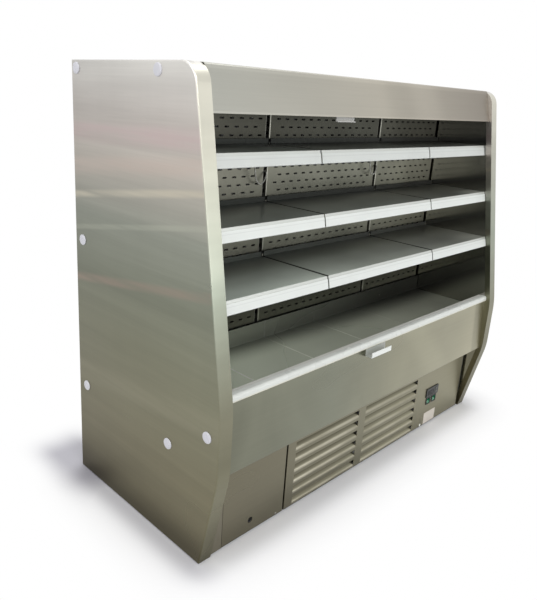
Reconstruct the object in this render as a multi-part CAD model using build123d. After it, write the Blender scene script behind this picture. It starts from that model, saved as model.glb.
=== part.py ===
from build123d import *
import math
import os

# Open multideck display fridge, millimetres. While a piece is drawn, X runs from the
# middle to the right, Y from the toe of the end panels to the rear, Z up from the floor.
# One file is written per piece, moved so that the origin is under the middle of the whole.

# ---- overall ----
width = 1500.0
height = 1300.0
base_depth = 616.0
front_bulge = 62.0
wall = 44.0
skin = 1.5
skin_fold = 4.0
sheet = 1.2
bend = 2.0
gap = 0.3
cut = 1.0

# ---- outline of the end panels ----
end_clearance = 2.0
knee_low = 290.0
knee_high = 480.0
slope_deg = 9.4
crown_radius = 55.0
knee_low_radius = 300.0
knee_high_radius = 400.0
front_return = 20.0

# ---- caps over the end panel bolts: from the floor, or down from the top ----
cap_radius = 16.0
cap_height = 4.0
cap_bevel = 2.0
rear_cap_inset = 27.0
top_cap_drop = 22.0
front_top_cap_y = 209.0
low_cap_places = [(575.0, 793.0), (570.0, 316.0), (144.0, 308.0), (-17.0, 402.0)]

# ---- canopy ----
fascia_height = 111.0
fascia_foot_setback = 9.2
fascia_lean = 28.0
fascia_radius = 8.0
fascia_hem = 10.0
canopy_drop = 1.0
ceiling_thickness = 36.0
duct_behind_hem = 75.6
duct_wall = 12.0
duct_depth = 67.0
outlet_sheet = 1.5
outlet_slot = (90.0, 9.0)
outlet_slot_pitch = (98.0, 30.0)
outlet_slot_rows = 2

# ---- night blind ----
roll_radius = 22.0
roller_tube_radius = 16.0
roller_pin_radius = 5.0
pin_clearance = 0.05
pin_depth = 10.0
pin_end_gap = 1.0
roller_drop = 59.0
roller_behind_hem = 47.6
roller_end_gap = 8.0
bar_height = 22.0
bar_thickness = 5.0
bar_end_gap = 14.0
bar_behind_hem = 14.0
bar_above_hem = 13.0
cloth_end_gap = 22.0
cloth_thickness = 0.8
handle_x = -185.0
handle_width = 84.0
handle_drop = 16.0
handle_curl = 8.0
handle_sheet = 2.5

# ---- rear wall, well and deck ----
rear_wall = 52.0
well_base = 287.0
well_floor = 22.0
well_front_y = -34.0
well_front_wall = 24.0
well_rim_width = 12.0
well_rim_top = 507.0
deck_z = 460.0
deck_upstand = 60.0
deck_front = 50.0
pan_behind_shelf = 2.0
pan_count = 6
pan_pitch = 257.0
pan_gap = 1.0
grille_rear = 62.0
grille_slot = (60.0, 8.0)
grille_slot_pitch = (72.0, 22.0)
grille_window = (180.0, 90.0)
grille_window_pitch = 215.0

# ---- perforated back and uprights ----
back_y = 280.0
back_flange = 10.0
split_x = 292.0
back_slot_gap = 14.0
outer_slot_gap = 10.0
kick_gap = 0.6
upright_width = 30.0
upright_depth = 20.0
upright_sheet = 1.5
hook_pitch = 25.0
hook_slot_height = 12.0
hook_slot_width = 12.6
outer_hook_slot = 3.6
perforation = (17.5, 5.8)
perforation_pitch = (38.0, 56.0)
perforation_margin = 24.0

# ---- shelves ----
shelf_rear_gap = 10.0
shelf_row_names = ("bottom", "middle", "top")
top_shelf_drop = 203.0
shelf_rise = 175.0
shelf_behind_blind = 11.25
shelf_gap = 5.0
shelf_end_gap = 2.0
shelf_upstand = 15.0
shelf_side = 14.0
lip_length = 36.0
lip_lean_deg = 12.0
lip_return = 8.0
bracket_sheet = 2.0
bracket_front_height = 12.0
bracket_rear_height = 62.0
bracket_front_inset = 16.0
hook_drop = 5.0
hook_height = 8.0
hook_tongue = 2.5
hook_below_shelf = 20.0
strip_start = 9.0
strip_sheet = 1.5
strip_hook = 7.0
strip_end_gap = 0.5
lamp_size = (14.0, 10.0)
lamp_front_inset = 26.0
lamp_end_gap = 24.0
lamp_round = 3.0
lamp_plug = (18.0, 12.0, 14.0)

# ---- lower front ----
panel_top_y = -38.0
soffit_setback = 12.0
bumper_base = 489.0
bumper_height = 20.0
bumper_front_y = -44.0
bumper_cover = 5.7
bumper_radius = 9.0
bumper_edge_radius = 3.0
catch_x = -62.0
catch_width = 106.0
catch_floor_z = 463.0
catch_lip = 18.0
catch_sheet = 2.0
catch_prouder = 3.0
catch_top_gap = 2.0
bar_catch_gap = 2.5
bar_floor_gap = 2.0

# ---- plinth ----
plinth_y = 3.0
plinth_base = 5.0
plinth_fold = 10.0
soffit_z = 284.0
filler_width = 42.0
access_right_x = -410.0
access_hole_radius = 9.0
access_hole = (-552.0, 44.0)
louvre_left_x = -403.0
louvre_right_gap = 16.0
louvre_banks = [(-367.0, -45.0), (-5.0, 332.0)]
louvre_count = 6
louvre_pitch = 38.6
louvre_opening = 22.0
louvre_push = 21.0
louvre_lowest_z = 15.0

# ---- controls ----
controller_x = 456.0
controller_z = 145.0
controller_face = (88.0, 38.0)
controller_body = (71.0, 29.0)
bezel_thickness = 3.5
controller_depth = 60.0
display = (44.0, 19.0)
display_recess = 0.8
display_shift = -14.0
key_size = (12.0, 9.0)
key_shift_x = 28.0
key_spread = 13.0
key_clearance = 0.4
key_proud = 1.2
key_pocket = 3.0
key_back_gap = 1.2
rocker_xs = [434.0, 476.0]
rocker_z = 109.0
rocker_flange = (32.0, 29.0)
rocker_body = (28.0, 26.4)
rocker_cavity = (23.0, 23.2)
rocker_body_depth = 24.0
rocker_flange_thickness = 2.2
rocker_size = (22.0, 20.0)
rocker_tilt_deg = 8.0
rocker_pivot_depth = 7.0
rocker_face_rise = 3.0
rocker_face_drop = 1.0
rocker_back_drop = 2.0
rocker_back_wall = 2.0
rocker_pin_radius = 1.5
rocker_pin_length = 1.5

# ---- base frame, feet ----
tube = 30.0
frame_base = 14.0
frame_front_low = 27.0
frame_front_high = 14.0
rear_rail_depth = 48.0
tray_thickness = 2.0
tray_half_width = 390.0
foot_radius = 20.0
foot_height = 8.0
stem_radius = 6.0
stem_reach = 14.0
foot_side_inset = 80.0

# ---- refrigeration ----
fan_blade_count = 5
condenser_x = (-360.0, -10.0)
condenser_z = (54.0, 250.0)
condenser_y = 70.0
condenser_depth = 60.0
condenser_fin_pitch = 14.0
condenser_foot_inset = 10.0
shroud_depth = 26.0
condenser_fan_radius = 86.0
evaporator_side_room = 146.0
evaporator_rear_gap = 24.0
evaporator_depth = 200.0
evaporator_height = 160.0
evaporator_foot = 15.0
end_plate_sheet = 2.0
end_plate_margin = 5.0
evaporator_fin_pitch = 40.0
fin_groove = (6.0, 30.0)
fan_plate_before_coil = 108.0
fan_plate_flange = 20.0
evaporator_fan_xs = (-150.0, 150.0)
evaporator_fan_radius = 57.0
fan_tip_gap = 4.0
fan_hub_radius = 16.0
fan_hub_length = 22.0
fan_hub_round = 3.2
fan_hub_face = 4.0
fan_pitch_deg = 28.0
fan_blade_sheet = 1.6
blade_root_share = 0.7
blade_root_half_share = 0.45
blade_tip_share = 0.96
blade_tip_half_share = 0.31
motor_radius = 20.0
motor_length = 30.0
motor_gap = 3.0
shaft_radius = 3.0
shaft_clearance = 0.05
shaft_tip_gap = 2.0
strap_width = 30.0
strap_sheet = 2.0
compressor_centre = (170.0, 300.0)
compressor_radius = 75.0
compressor_base = 58.0
compressor_top = 205.0
compressor_foot_round = 22.0
compressor_dome_round = 40.0
compressor_plate = (165.0, 112.0)
compressor_plate_sheet = 4.0
compressor_plate_round = 12.0
leg_spread = (71.0, 45.0)
leg_radius = 9.0
terminal_box = (52.0, 54.0, 60.0)
terminal_box_proud = 24.0
terminal_box_rise = 40.0
stub_offsets = [(-40.0, -30.0), (35.0, 0.0)]
stub_radius = 7.0
stub_proud = 10.0
stub_sunk = 45.0
pipe_radius = 5.0
pipe_bend = 17.6
pipe_hole_gap = 2.0
pipe_rise = 25.0
suction_beside_coil = 40.0
suction_height = 90.0
liquid_beside_coil = 60.0
liquid_behind_suction = 40.0
liquid_height = 60.0
liquid_low = 26.0
liquid_turn = (40.0, 100.0)
liquid_inset = 10.0

# ---- shelf lamp leads: diameter, and the points of each route by hand ----
lead_radius = 2.0
lead_left_route = [
    (-362.0, 256.0, 1081.8), (-362.0, 256.0, 1052.0), (-359.0, 258.5, 1020.0),
    (-350.0, 261.5, 992.0), (-332.0, 262.5, 976.0), (-312.0, 264.0, 984.0),
    (-299.5, 268.0, 1002.5), (-292.0, 276.5, 1014.5), (-292.0, 290.3, 1014.5),
]
lead_right_route = [
    (222.0, 256.0, 1081.8), (222.0, 256.0, 1051.0), (226.0, 258.5, 1019.0),
    (235.0, 261.5, 993.0), (253.0, 262.5, 979.0), (272.0, 264.0, 987.0),
    (284.5, 268.0, 1003.5), (292.0, 277.0, 1014.5), (292.0, 290.3, 1014.5),
]

# ---- worked out from the sizes above ----
inner_x = width / 2 - wall
slope = math.tan(math.radians(slope_deg))
end_top_y = -front_bulge + (height - knee_high) * slope
canopy_z = height - canopy_drop
hem_z = canopy_z - fascia_height
hem_y = -front_bulge + (hem_z - knee_high) * slope + fascia_foot_setback
ceiling_z = canopy_z - sheet - ceiling_thickness
duct_front = hem_y + duct_behind_hem
back_inner_y = base_depth - rear_wall
well_floor_z = well_base + well_floor
bumper_top = bumper_base + bumper_height
bumper_seat_z = bumper_top - bumper_cover - gap
pan_under_z = deck_z - sheet
kick_top = deck_z + deck_upstand
outlet_z = ceiling_z - duct_depth
back_top = outlet_z - outlet_sheet - 2 * gap
shelf_rear_y = back_y - shelf_rear_gap
pan_rear_y = shelf_rear_y + pan_behind_shelf
upright_y = back_y + back_flange + gap
roller_y = hem_y + roller_behind_hem
roller_z = canopy_z - roller_drop
parked_y = hem_y + bar_behind_hem
parked_z = hem_z + bar_above_hem
lip_y = -front_bulge - catch_prouder
caught_y = lip_y + catch_sheet + bar_catch_gap + bar_thickness / 2
caught_z = catch_floor_z + catch_sheet + bar_floor_gap + bar_height / 2
blind_lean = (parked_y - caught_y) / (parked_z - caught_z)
shelf_levels = [height - top_shelf_drop - i * shelf_rise for i in (2, 1, 0)]
shelf_rows = [(z, caught_y + (z - caught_z) * blind_lean + shelf_behind_blind) for z in shelf_levels]
soffit_y = -front_bulge + soffit_setback
plinth_top = soffit_z - gap
frame_top = well_base - gap
louvre_right_x = inner_x - louvre_right_gap
machine_tray_z = frame_base + tube
machine_floor_z = machine_tray_z + tray_thickness
stub_top = compressor_top + stub_proud
evaporator_half = inner_x - evaporator_side_room
evaporator_y = (back_inner_y - evaporator_rear_gap - evaporator_depth, back_inner_y - evaporator_rear_gap)
fan_plate_y = evaporator_y[0] - fan_plate_before_coil
shift_y = -(base_depth + lip_y) / 2


def along_x(face, x0, x1):
    """A side-view face, points (y, z), run from x0 to x1."""
    return Pos(x0, 0, 0) * extrude(Plane.YZ * face, x1 - x0)


def along_y(face, y0, y1):
    """A front-view face, points (x, z), run from y0 back to y1."""
    return Pos(0, y1, 0) * extrude(Plane.XZ * face, y1 - y0)


def along_z(face, z0, z1):
    """A plan-view face run from z0 up to z1."""
    return Pos(0, 0, z0) * extrude(face, z1 - z0)


def block(x, y, z):
    """A box from pairs of limits."""
    return along_z(Pos((x[0] + x[1]) / 2, (y[0] + y[1]) / 2) * Rectangle(x[1] - x[0], y[1] - y[0]), *z)


def outline(points, radii=None):
    """Closed face through the points, with a radius at each where given."""
    if radii is None:
        return make_face(Polyline(*points, close=True))
    return make_face(FilletPolyline(*points, radius=radii, close=True))


def folded(points, thickness, inside=bend):
    """Section of a folded sheet whose left-hand face follows the points."""
    line = [Vector(*p) for p in points]
    runs = [(b - a).normalized() for a, b in zip(line, line[1:])]
    right = [Vector(r.Y, -r.X) for r in runs]
    near = [line[0] + right[0] * thickness]
    left_radii = []
    right_radii = []
    for i in range(1, len(line) - 1):
        middle = (right[i - 1] + right[i]).normalized()
        near.append(line[i] + middle * (thickness / middle.dot(right[i])))
        turns_right = runs[i - 1].X * runs[i].Y - runs[i - 1].Y * runs[i].X < 0
        left_radii.append(inside + thickness if turns_right else inside)
        right_radii.append(inside if turns_right else inside + thickness)
    near.append(line[-1] + right[-1] * thickness)
    corners = [(v.X, v.Y) for v in line + near[::-1]]
    return outline(corners, [0, *left_radii, 0, 0, *right_radii[::-1], 0])


def mirrored(solid):
    """The same piece on the other side of the middle."""
    return mirror(solid, about=Plane.YZ)


def slot_grid(columns, rows, size):
    """Front-view or plan-view slots at every column and row."""
    return [Pos(a, b) * Rectangle(*size) for a in columns for b in rows]


def centred(count, pitch):
    """Evenly spaced places about zero."""
    return [(i - (count - 1) / 2) * pitch for i in range(count)]


# ---------------------------------------------------------------- casing


def end_outline():
    """Side view of an end panel."""
    points = [
        (0, end_clearance), (-front_bulge, knee_low), (-front_bulge, knee_high),
        (end_top_y, height), (base_depth, height), (base_depth, end_clearance),
    ]
    return outline(points, [0, knee_low_radius, knee_high_radius, crown_radius, 0, 0])


def end_pair():
    """Left-hand skin, folded round every edge, and the foam-filled wall inside it."""
    x0 = -width / 2
    full = end_outline()
    inset = offset(full, amount=-skin, kind=Kind.INTERSECTION)
    outer = along_x(full, x0, -inner_x)
    outer = fillet(outer.faces().sort_by(Axis.X)[0].edges(), skin_fold)
    core = along_x(inset, x0 + skin, -inner_x)
    core = fillet(core.faces().sort_by(Axis.X)[0].edges(), skin_fold - skin)
    front_strip = inset - Pos(front_return, 0) * inset
    strip_return = along_x(front_strip, -inner_x - skin, -inner_x)
    face = outer - core + strip_return
    socket = along_x(
        Pos(roller_y, roller_z) * Circle(roller_pin_radius + pin_clearance),
        -inner_x - pin_depth, -inner_x + cut,
    )
    return face, core - strip_return - socket


def end_caps():
    """Pale caps over the bolts of both end panels."""
    places = [
        (base_depth - rear_cap_inset, height - top_cap_drop),
        (front_top_cap_y, height - top_cap_drop),
        *low_cap_places,
    ]
    cap = Cylinder(cap_radius, cap_height)
    cap = chamfer(cap.edges().sort_by(Axis.Z)[-1], cap_bevel)
    left = [Pos(-width / 2 - cap_height / 2, y, z) * Rot(0, -90, 0) * cap for y, z in places]
    return left + [mirrored(c) for c in left]


def canopy_cover():
    """Fascia and top folded from one sheet, with a closed hem at the fascia's foot."""
    x1 = inner_x - gap
    top_y = hem_y + fascia_lean
    section = folded([(hem_y, hem_z), (top_y, canopy_z), (base_depth, canopy_z)], sheet, fascia_radius)
    lean = fascia_lean / fascia_height
    hem = outline([
        (hem_y + sheet / 2, hem_z), (hem_y + 2 * sheet, hem_z),
        (hem_y + 2 * sheet + fascia_hem * lean, hem_z + fascia_hem),
        (hem_y + sheet / 2 + fascia_hem * lean, hem_z + fascia_hem),
    ])
    return along_x(section + hem, -x1, x1)


def canopy_liner():
    """Foam ceiling of the air duct with its front wall."""
    x1 = inner_x - gap
    top = canopy_z - sheet - gap
    points = [
        (duct_front, outlet_z), (duct_front, top), (back_inner_y - gap, top),
        (back_inner_y - gap, ceiling_z), (duct_front + duct_wall, ceiling_z),
        (duct_front + duct_wall, outlet_z),
    ]
    return along_x(outline(points), -x1, x1)


def outlet_grille():
    """Slotted plate under the duct, from its front wall back to the perforated panels."""
    x1 = inner_x - gap
    depth = back_y - duct_front
    plate = Pos(0, duct_front + depth / 2) * Rectangle(2 * x1, depth)
    columns = centred(int(2 * x1 / outlet_slot_pitch[0]), outlet_slot_pitch[0])
    rows = [duct_front + depth / 2 + r for r in centred(outlet_slot_rows, outlet_slot_pitch[1])]
    plate -= slot_grid(columns, rows, outlet_slot)
    top = outlet_z - gap
    return along_z(plate, top - outlet_sheet, top)


def insulated_back():
    """Foam-filled rear wall."""
    x1 = inner_x - gap
    return block((-x1, x1), (back_inner_y, base_depth), (well_base, canopy_z - sheet - gap))


def insulated_well():
    """Foam-filled tub under the deck, its front edge stepped down to seat the bumper."""
    front = well_front_y
    inside = front + well_front_wall
    step = inside - well_rim_width
    points = [
        (front, well_base), (front, bumper_seat_z), (step, bumper_seat_z), (step, well_rim_top),
        (inside, well_rim_top), (inside, well_floor_z), (back_inner_y - gap, well_floor_z),
        (back_inner_y - gap, well_base),
    ]
    x1 = inner_x - gap
    tub = along_x(outline(points), -x1, x1)
    for x, y, radius in well_pipe_holes():
        tub -= Pos(x, y, well_base) * Cylinder(radius, 3 * well_floor)
    return tub


# ---------------------------------------------------------------- night blind


def blind_roller():
    """Spring roller with the rolled cloth and its two end pins."""
    half = inner_x - roller_end_gap
    cloth_half = inner_x - cloth_end_gap
    pin_end = inner_x + pin_depth - pin_end_gap
    profile = outline([
        (-pin_end, 0), (-pin_end, roller_pin_radius), (-half, roller_pin_radius),
        (-half, roller_tube_radius), (-cloth_half, roller_tube_radius), (-cloth_half, roll_radius),
        (cloth_half, roll_radius), (cloth_half, roller_tube_radius), (half, roller_tube_radius),
        (half, roller_pin_radius), (pin_end, roller_pin_radius), (pin_end, 0),
    ])
    return Pos(0, roller_y, roller_z) * revolve(profile, Axis.X)


def blind_bar():
    """Pull bar along the foot of the blind."""
    half = inner_x - bar_end_gap
    section = Pos(parked_y, parked_z) * RectangleRounded(bar_thickness, bar_height, bar_thickness / 3)
    return along_x(section, -half, half)


def blind_handle():
    """Grip under the pull bar, with its foot curled forward."""
    top = parked_z - bar_height / 2
    back = parked_y - bar_thickness / 2 + handle_sheet
    section = folded([
        (back, top), (back, top - handle_drop), (back - handle_curl, top - handle_drop),
    ], handle_sheet, 1.5)
    return along_x(section, handle_x - handle_width / 2, handle_x + handle_width / 2)


def blind_cloth():
    """The stretch of cloth between the roller and the bar when the blind is up."""
    foot = Vector(parked_y, parked_z + bar_height / 2 + gap)
    to_roller = Vector(roller_y, roller_z) - foot
    clear = roll_radius + gap + cloth_thickness / 2
    reach = math.sqrt(to_roller.length ** 2 - clear ** 2)
    angle = math.atan2(to_roller.Y, to_roller.X) + math.atan2(clear, reach)
    head = foot + Vector(math.cos(angle), math.sin(angle)) * reach
    half = cloth_thickness / 2
    section = outline([
        (foot.X - half, foot.Y), (foot.X + half, foot.Y), (head.X + half, head.Y), (head.X - half, head.Y),
    ])
    x1 = inner_x - cloth_end_gap
    return along_x(section, -x1, x1)


# ---------------------------------------------------------------- back panels and shelves


def upright_places():
    """Middle of each slotted upright and of its hook slots, with the slot's width."""
    end_x = inner_x - gap - upright_width / 2
    end_slot = inner_x - shelf_end_gap - sheet - gap - bracket_sheet / 2
    return [
        (-end_x, -end_slot, outer_hook_slot), (-split_x, -split_x, hook_slot_width),
        (split_x, split_x, hook_slot_width), (end_x, end_slot, outer_hook_slot),
    ]


def slotted_uprights():
    """Four channels whose slots take the shelf brackets' hooks."""
    front = upright_y
    first = shelf_levels[0] - hook_below_shelf
    low = math.ceil((kick_top + hook_slot_height - first) / hook_pitch)
    high = math.floor((back_top - hook_slot_height - first) / hook_pitch)
    rows = [first + i * hook_pitch for i in range(low, high + 1)]
    made = []
    for x, slot_x, slot_width in upright_places():
        half = upright_width / 2
        channel = outline([
            (x - half, front), (x + half, front), (x + half, front + upright_depth),
            (x + half - upright_sheet, front + upright_depth),
            (x + half - upright_sheet, front + upright_sheet),
            (x - half + upright_sheet, front + upright_sheet),
            (x - half + upright_sheet, front + upright_depth),
            (x - half, front + upright_depth),
        ])
        post = along_z(channel, well_floor_z, outlet_z - outlet_sheet - gap)
        slots = slot_grid([slot_x], rows, (slot_width, hook_slot_height))
        made.append(post - along_y(Sketch() + slots, front - cut, front + upright_sheet + cut))
    return made


def back_panel(x0, x1):
    """Perforated panel with its side edges folded back on to the uprights."""
    section = folded([
        (x0, back_y + back_flange), (x0, back_y), (x1, back_y), (x1, back_y + back_flange),
    ][::-1], sheet, 1.5)
    panel = along_z(section, kick_top + kick_gap, back_top)
    pitch_x, pitch_z = perforation_pitch
    span = x1 - x0 - 2 * perforation_margin
    count = int(span / pitch_x) + 1
    middle_x = (x0 + x1) / 2
    middle_z = (kick_top + back_top) / 2
    rows = centred(int((back_top - kick_top - perforation_margin) / pitch_z), pitch_z)
    holes = []
    for i, row in enumerate(rows):
        columns = [middle_x + c for c in centred(count - i % 2, pitch_x)]
        holes += slot_grid(columns, [middle_z + row], perforation)
    return panel - along_y(Sketch() + holes, back_y - cut, back_y + sheet + cut)


def back_panels():
    """The three perforated panels between the uprights."""
    edge = split_x + back_slot_gap / 2
    inner = split_x - back_slot_gap / 2
    far = inner_x - outer_slot_gap
    return [back_panel(-far, -edge), back_panel(-inner, inner), back_panel(edge, far)]


def lip_point(y, z, down, out):
    """A point beside a shelf's leaning front lip: down along it, and out from it."""
    s = math.sin(math.radians(lip_lean_deg))
    c = math.cos(math.radians(lip_lean_deg))
    return (y - down * s - out * c, z - down * c + out * s)


def shelf_tray(x0, x1, y, z):
    """Tray with a rear upstand, a leaning front lip and folded-down sides."""
    foot = lip_point(y, z, lip_length, 0)
    section = folded([
        (foot[0] + lip_return, foot[1]), foot, (y, z), (shelf_rear_y, z), (shelf_rear_y, z + shelf_upstand),
    ], sheet, 1.0)
    tray = along_x(section, x0, x1)
    side = outline([
        (y + bracket_front_inset, z - sheet / 2), (shelf_rear_y, z - sheet / 2),
        (shelf_rear_y, z - shelf_side), (y + bracket_front_inset, z - shelf_side),
    ])
    return tray + along_x(side, x0, x0 + sheet) + along_x(side, x1 - sheet, x1)


def ticket_strip(x0, x1, y, z):
    """Ticket strip clipped over the lip, with its foot hooked under it."""
    out = gap + strip_sheet
    foot = lip_point(y, z, lip_length + out + 2 * gap, out)
    section = folded([
        (foot[0] + strip_hook, foot[1]), foot, lip_point(y, z, strip_start, out),
    ], strip_sheet, 0.8)
    return along_x(section, x0 + strip_end_gap, x1 - strip_end_gap)


def shelf_bracket(x0, y, z):
    """Triangular arm under a tray's side, with two hooks for the upright."""
    top = z - sheet
    rear = upright_y - gap
    behind = upright_y + upright_sheet + gap
    points = [(y + bracket_front_inset, top), (y + bracket_front_inset, top - bracket_front_height)]
    points.append((rear, top - bracket_rear_height))
    for i in (1, 0):
        neck = z - hook_below_shelf - i * hook_pitch - hook_slot_height / 2 + gap
        points += [
            (rear, neck), (behind, neck), (behind, neck - hook_drop),
            (behind + hook_tongue, neck - hook_drop), (behind + hook_tongue, neck + hook_height),
            (rear, neck + hook_height),
        ]
    points.append((rear, top))
    return along_x(outline(points), x0, x0 + bracket_sheet)


def shelf_columns():
    """Left and right limits of the three trays of a row."""
    inner = split_x - shelf_gap / 2
    outer = split_x + shelf_gap / 2
    far = inner_x - shelf_end_gap
    return {"left": (-far, -outer), "middle": (-inner, inner), "right": (outer, far)}


def shelf_pieces():
    """Nine trays by name, and lists of their strips and brackets."""
    trays = {}
    strips = []
    brackets = []
    for row, (z, y) in zip(shelf_row_names, shelf_rows):
        for side, (x0, x1) in shelf_columns().items():
            trays[f"shelf_{row}_{side}"] = shelf_tray(x0, x1, y, z)
            strips.append(ticket_strip(x0, x1, y, z))
            brackets.append(shelf_bracket(x0 + sheet + gap, y, z))
            brackets.append(shelf_bracket(x1 - sheet - gap - bracket_sheet, y, z))
    return trays, strips, brackets


def shelf_lamps():
    """Lamps under the front of two top trays, and the lead blocks under their rear."""
    z, y = shelf_rows[-1]
    top = z - sheet
    made = []
    for side, route in (("left", lead_left_route), ("middle", lead_right_route)):
        x0, x1 = shelf_columns()[side]
        front = y + lamp_front_inset
        limits = (x0 + lamp_end_gap, x1 - lamp_end_gap)
        lamp = block(limits, (front, front + lamp_size[0]), (top - lamp_size[1], top))
        made.append(fillet(lamp.edges().filter_by(Axis.X).group_by(Axis.Z)[0], lamp_round))
        plug = Pos(route[0][0], route[0][1]) * Rectangle(lamp_plug[0], lamp_plug[1])
        made.append(along_z(plug, top - lamp_plug[2], top))
    return made


def lead(route, radius):
    """Round cord along a route, with the largest arc that each pair of runs allows."""
    points = [Vector(*p) for p in route]
    radii = []
    for a, b, c in zip(points, points[1:], points[2:]):
        turn = math.radians((b - a).get_angle(c - b))
        radii.append(0.45 * min((b - a).length, (c - b).length) / math.tan(turn / 2))
    path = FilletPolyline(*points, radius=radii)
    tube_solid = sweep(Plane(origin=path @ 0, z_dir=path % 0) * Circle(radius), path=path)
    section = math.pi * radius ** 2 * path.length
    print("lead radii", [round(r, 1) for r in radii], "length", round(path.length, 1),
          "volume share", round(tube_solid.volume / section, 4))
    return tube_solid


# ---------------------------------------------------------------- deck


def deck_pans():
    """Lift-off pans along the deck, each with an upstand behind."""
    far = inner_x - shelf_end_gap
    edges = [-far, *[p for p in centred(pan_count - 1, pan_pitch)], far]
    section = folded([
        (deck_front, deck_z), (pan_rear_y, deck_z), (pan_rear_y, kick_top),
    ], sheet)
    pans = []
    for left, right in zip(edges, edges[1:]):
        pans.append(along_x(section, left + pan_gap / 2, right - pan_gap / 2))
    return pans


def return_grille():
    """Return-air grille behind the bumper, with a windowed leg that carries the pans."""
    x1 = inner_x - gap
    front = well_front_y + well_front_wall + gap
    top = pan_under_z - gap
    section = folded([(front, top), (grille_rear, top), (grille_rear, well_floor_z)], sheet)
    plate = along_x(section, -x1, x1)
    columns = centred(int(2 * x1 / grille_slot_pitch[0]), grille_slot_pitch[0])
    middle_y = (front + deck_front) / 2
    rows = [middle_y + r for r in centred(2, grille_slot_pitch[1])]
    plate -= along_z(Sketch() + slot_grid(columns, rows, grille_slot), top - 2 * sheet, top + sheet)
    windows = centred(int(2 * x1 / grille_window_pitch), grille_window_pitch)
    middle_z = (well_floor_z + top) / 2
    cut = Sketch() + slot_grid(windows, [middle_z], grille_window)
    return plate - along_y(cut, grille_rear - 2 * sheet, grille_rear + sheet)


# ---------------------------------------------------------------- lower front


def front_panel():
    """Panel under the bumper, leaning back as it rises, with a soffit back to the frame."""
    points = [(frame_front_high - gap, soffit_z), (soffit_y, soffit_z), (panel_top_y, bumper_base - gap)]
    x1 = inner_x - gap
    return along_x(folded(points, sheet, 4.0), -x1, x1)


def bumper_rail():
    """Rounded rail hooked over the front edge of the well."""
    x1 = inner_x - gap
    back = well_front_y + well_front_wall - well_rim_width - gap
    cover_z = bumper_top - bumper_cover
    leg_y = well_front_y - gap
    points = [
        (bumper_front_y, bumper_base), (bumper_front_y, bumper_top), (back, bumper_top),
        (back, cover_z), (leg_y, cover_z), (leg_y, bumper_base),
    ]
    radii = [bumper_edge_radius, bumper_radius, bumper_edge_radius, 0, 0, 0]
    return along_x(outline(points, radii), -x1, x1)


def panel_face_y(z):
    """Where the front panel's face stands at a height."""
    share = (z - soffit_z) / (bumper_base - gap - soffit_z)
    return soffit_y + (panel_top_y - soffit_y) * share


def blind_catch():
    """Spring clip on the front panel that takes the pull bar."""
    top = bumper_base - catch_top_gap
    section = folded([
        (panel_face_y(top), top), (panel_face_y(catch_floor_z), catch_floor_z),
        (lip_y, catch_floor_z), (lip_y, catch_floor_z + catch_lip),
    ], catch_sheet, 1.0)
    return along_x(section, catch_x - catch_width / 2, catch_x + catch_width / 2)


# ---------------------------------------------------------------- plinth


def plinth_pan(x0, x1):
    """Flat panel with all four edges folded back."""
    middle_x = (x0 + x1) / 2
    middle_z = (plinth_base + plinth_top) / 2
    size = (x1 - x0, plinth_top - plinth_base)
    shell = along_y(Pos(middle_x, middle_z) * Rectangle(*size), plinth_y, plinth_y + plinth_fold)
    shell = fillet(shell.faces().sort_by(Axis.Y)[0].edges(), bend)
    hollow = Pos(middle_x, middle_z) * Rectangle(size[0] - 2 * sheet, size[1] - 2 * sheet)
    return shell - along_y(hollow, plinth_y + sheet, plinth_y + plinth_fold)


def access_panel():
    """Left plinth panel with its hole."""
    x0 = -inner_x + gap + filler_width + gap
    hole = Pos(*access_hole) * Circle(access_hole_radius)
    return plinth_pan(x0, access_right_x) - along_y(hole, plinth_y - cut, plinth_y + sheet + cut)


def louvre_slats(x0, x1):
    """One bank of slats, each hinged at its foot and pressed in at its top."""
    slats = []
    for i in range(louvre_count):
        z0 = louvre_lowest_z + i * louvre_pitch
        section = folded([
            (plinth_y, z0 - bend), (plinth_y, z0), (plinth_y + louvre_push, z0 + louvre_opening),
        ], sheet, bend)
        slats.append(along_x(section, x0, x1))
    return slats


def louvre_panel():
    """Wide plinth panel with two banks of pressed louvres and the holes for the controls."""
    panel = plinth_pan(louvre_left_x, louvre_right_x)
    cuts = []
    for x0, x1 in louvre_banks:
        middle = (x0 + x1) / 2
        rows = [louvre_lowest_z + i * louvre_pitch + louvre_opening / 2 for i in range(louvre_count)]
        cuts += slot_grid([middle], rows, (x1 - x0, louvre_opening))
    body_gap = 2 * gap
    cuts.append(Pos(controller_x, controller_z) * Rectangle(
        controller_body[0] + body_gap, controller_body[1] + body_gap
    ))
    cuts += slot_grid(rocker_xs, [rocker_z], (rocker_body[0] + body_gap, rocker_body[1] + body_gap))
    panel -= along_y(Sketch() + cuts, plinth_y - cut, plinth_y + sheet + cut)
    for x0, x1 in louvre_banks:
        panel += louvre_slats(x0, x1)
    return panel


# ---------------------------------------------------------------- controls


def key_places():
    """Middle of each controller key in the front view."""
    x = controller_x + key_shift_x
    return [(x, controller_z + key_spread / 2), (x, controller_z - key_spread / 2)]


def controller():
    """Panel-mounted controller with a display recess and two key pockets."""
    front = plinth_y - bezel_thickness
    face = Pos(controller_x, controller_z) * RectangleRounded(*controller_face, 2.5)
    body = Pos(controller_x, controller_z) * Rectangle(*controller_body)
    made = along_y(face, front, plinth_y) + along_y(body, plinth_y - cut, plinth_y + controller_depth)
    window = Pos(controller_x + display_shift, controller_z) * Rectangle(*display)
    made -= along_y(window, front - cut, front + display_recess)
    pocket = Rectangle(key_size[0] + 2 * key_clearance, key_size[1] + 2 * key_clearance)
    pockets = Sketch() + [Pos(*place) * pocket for place in key_places()]
    return made - along_y(pockets, front - cut, front + key_pocket)


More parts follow.
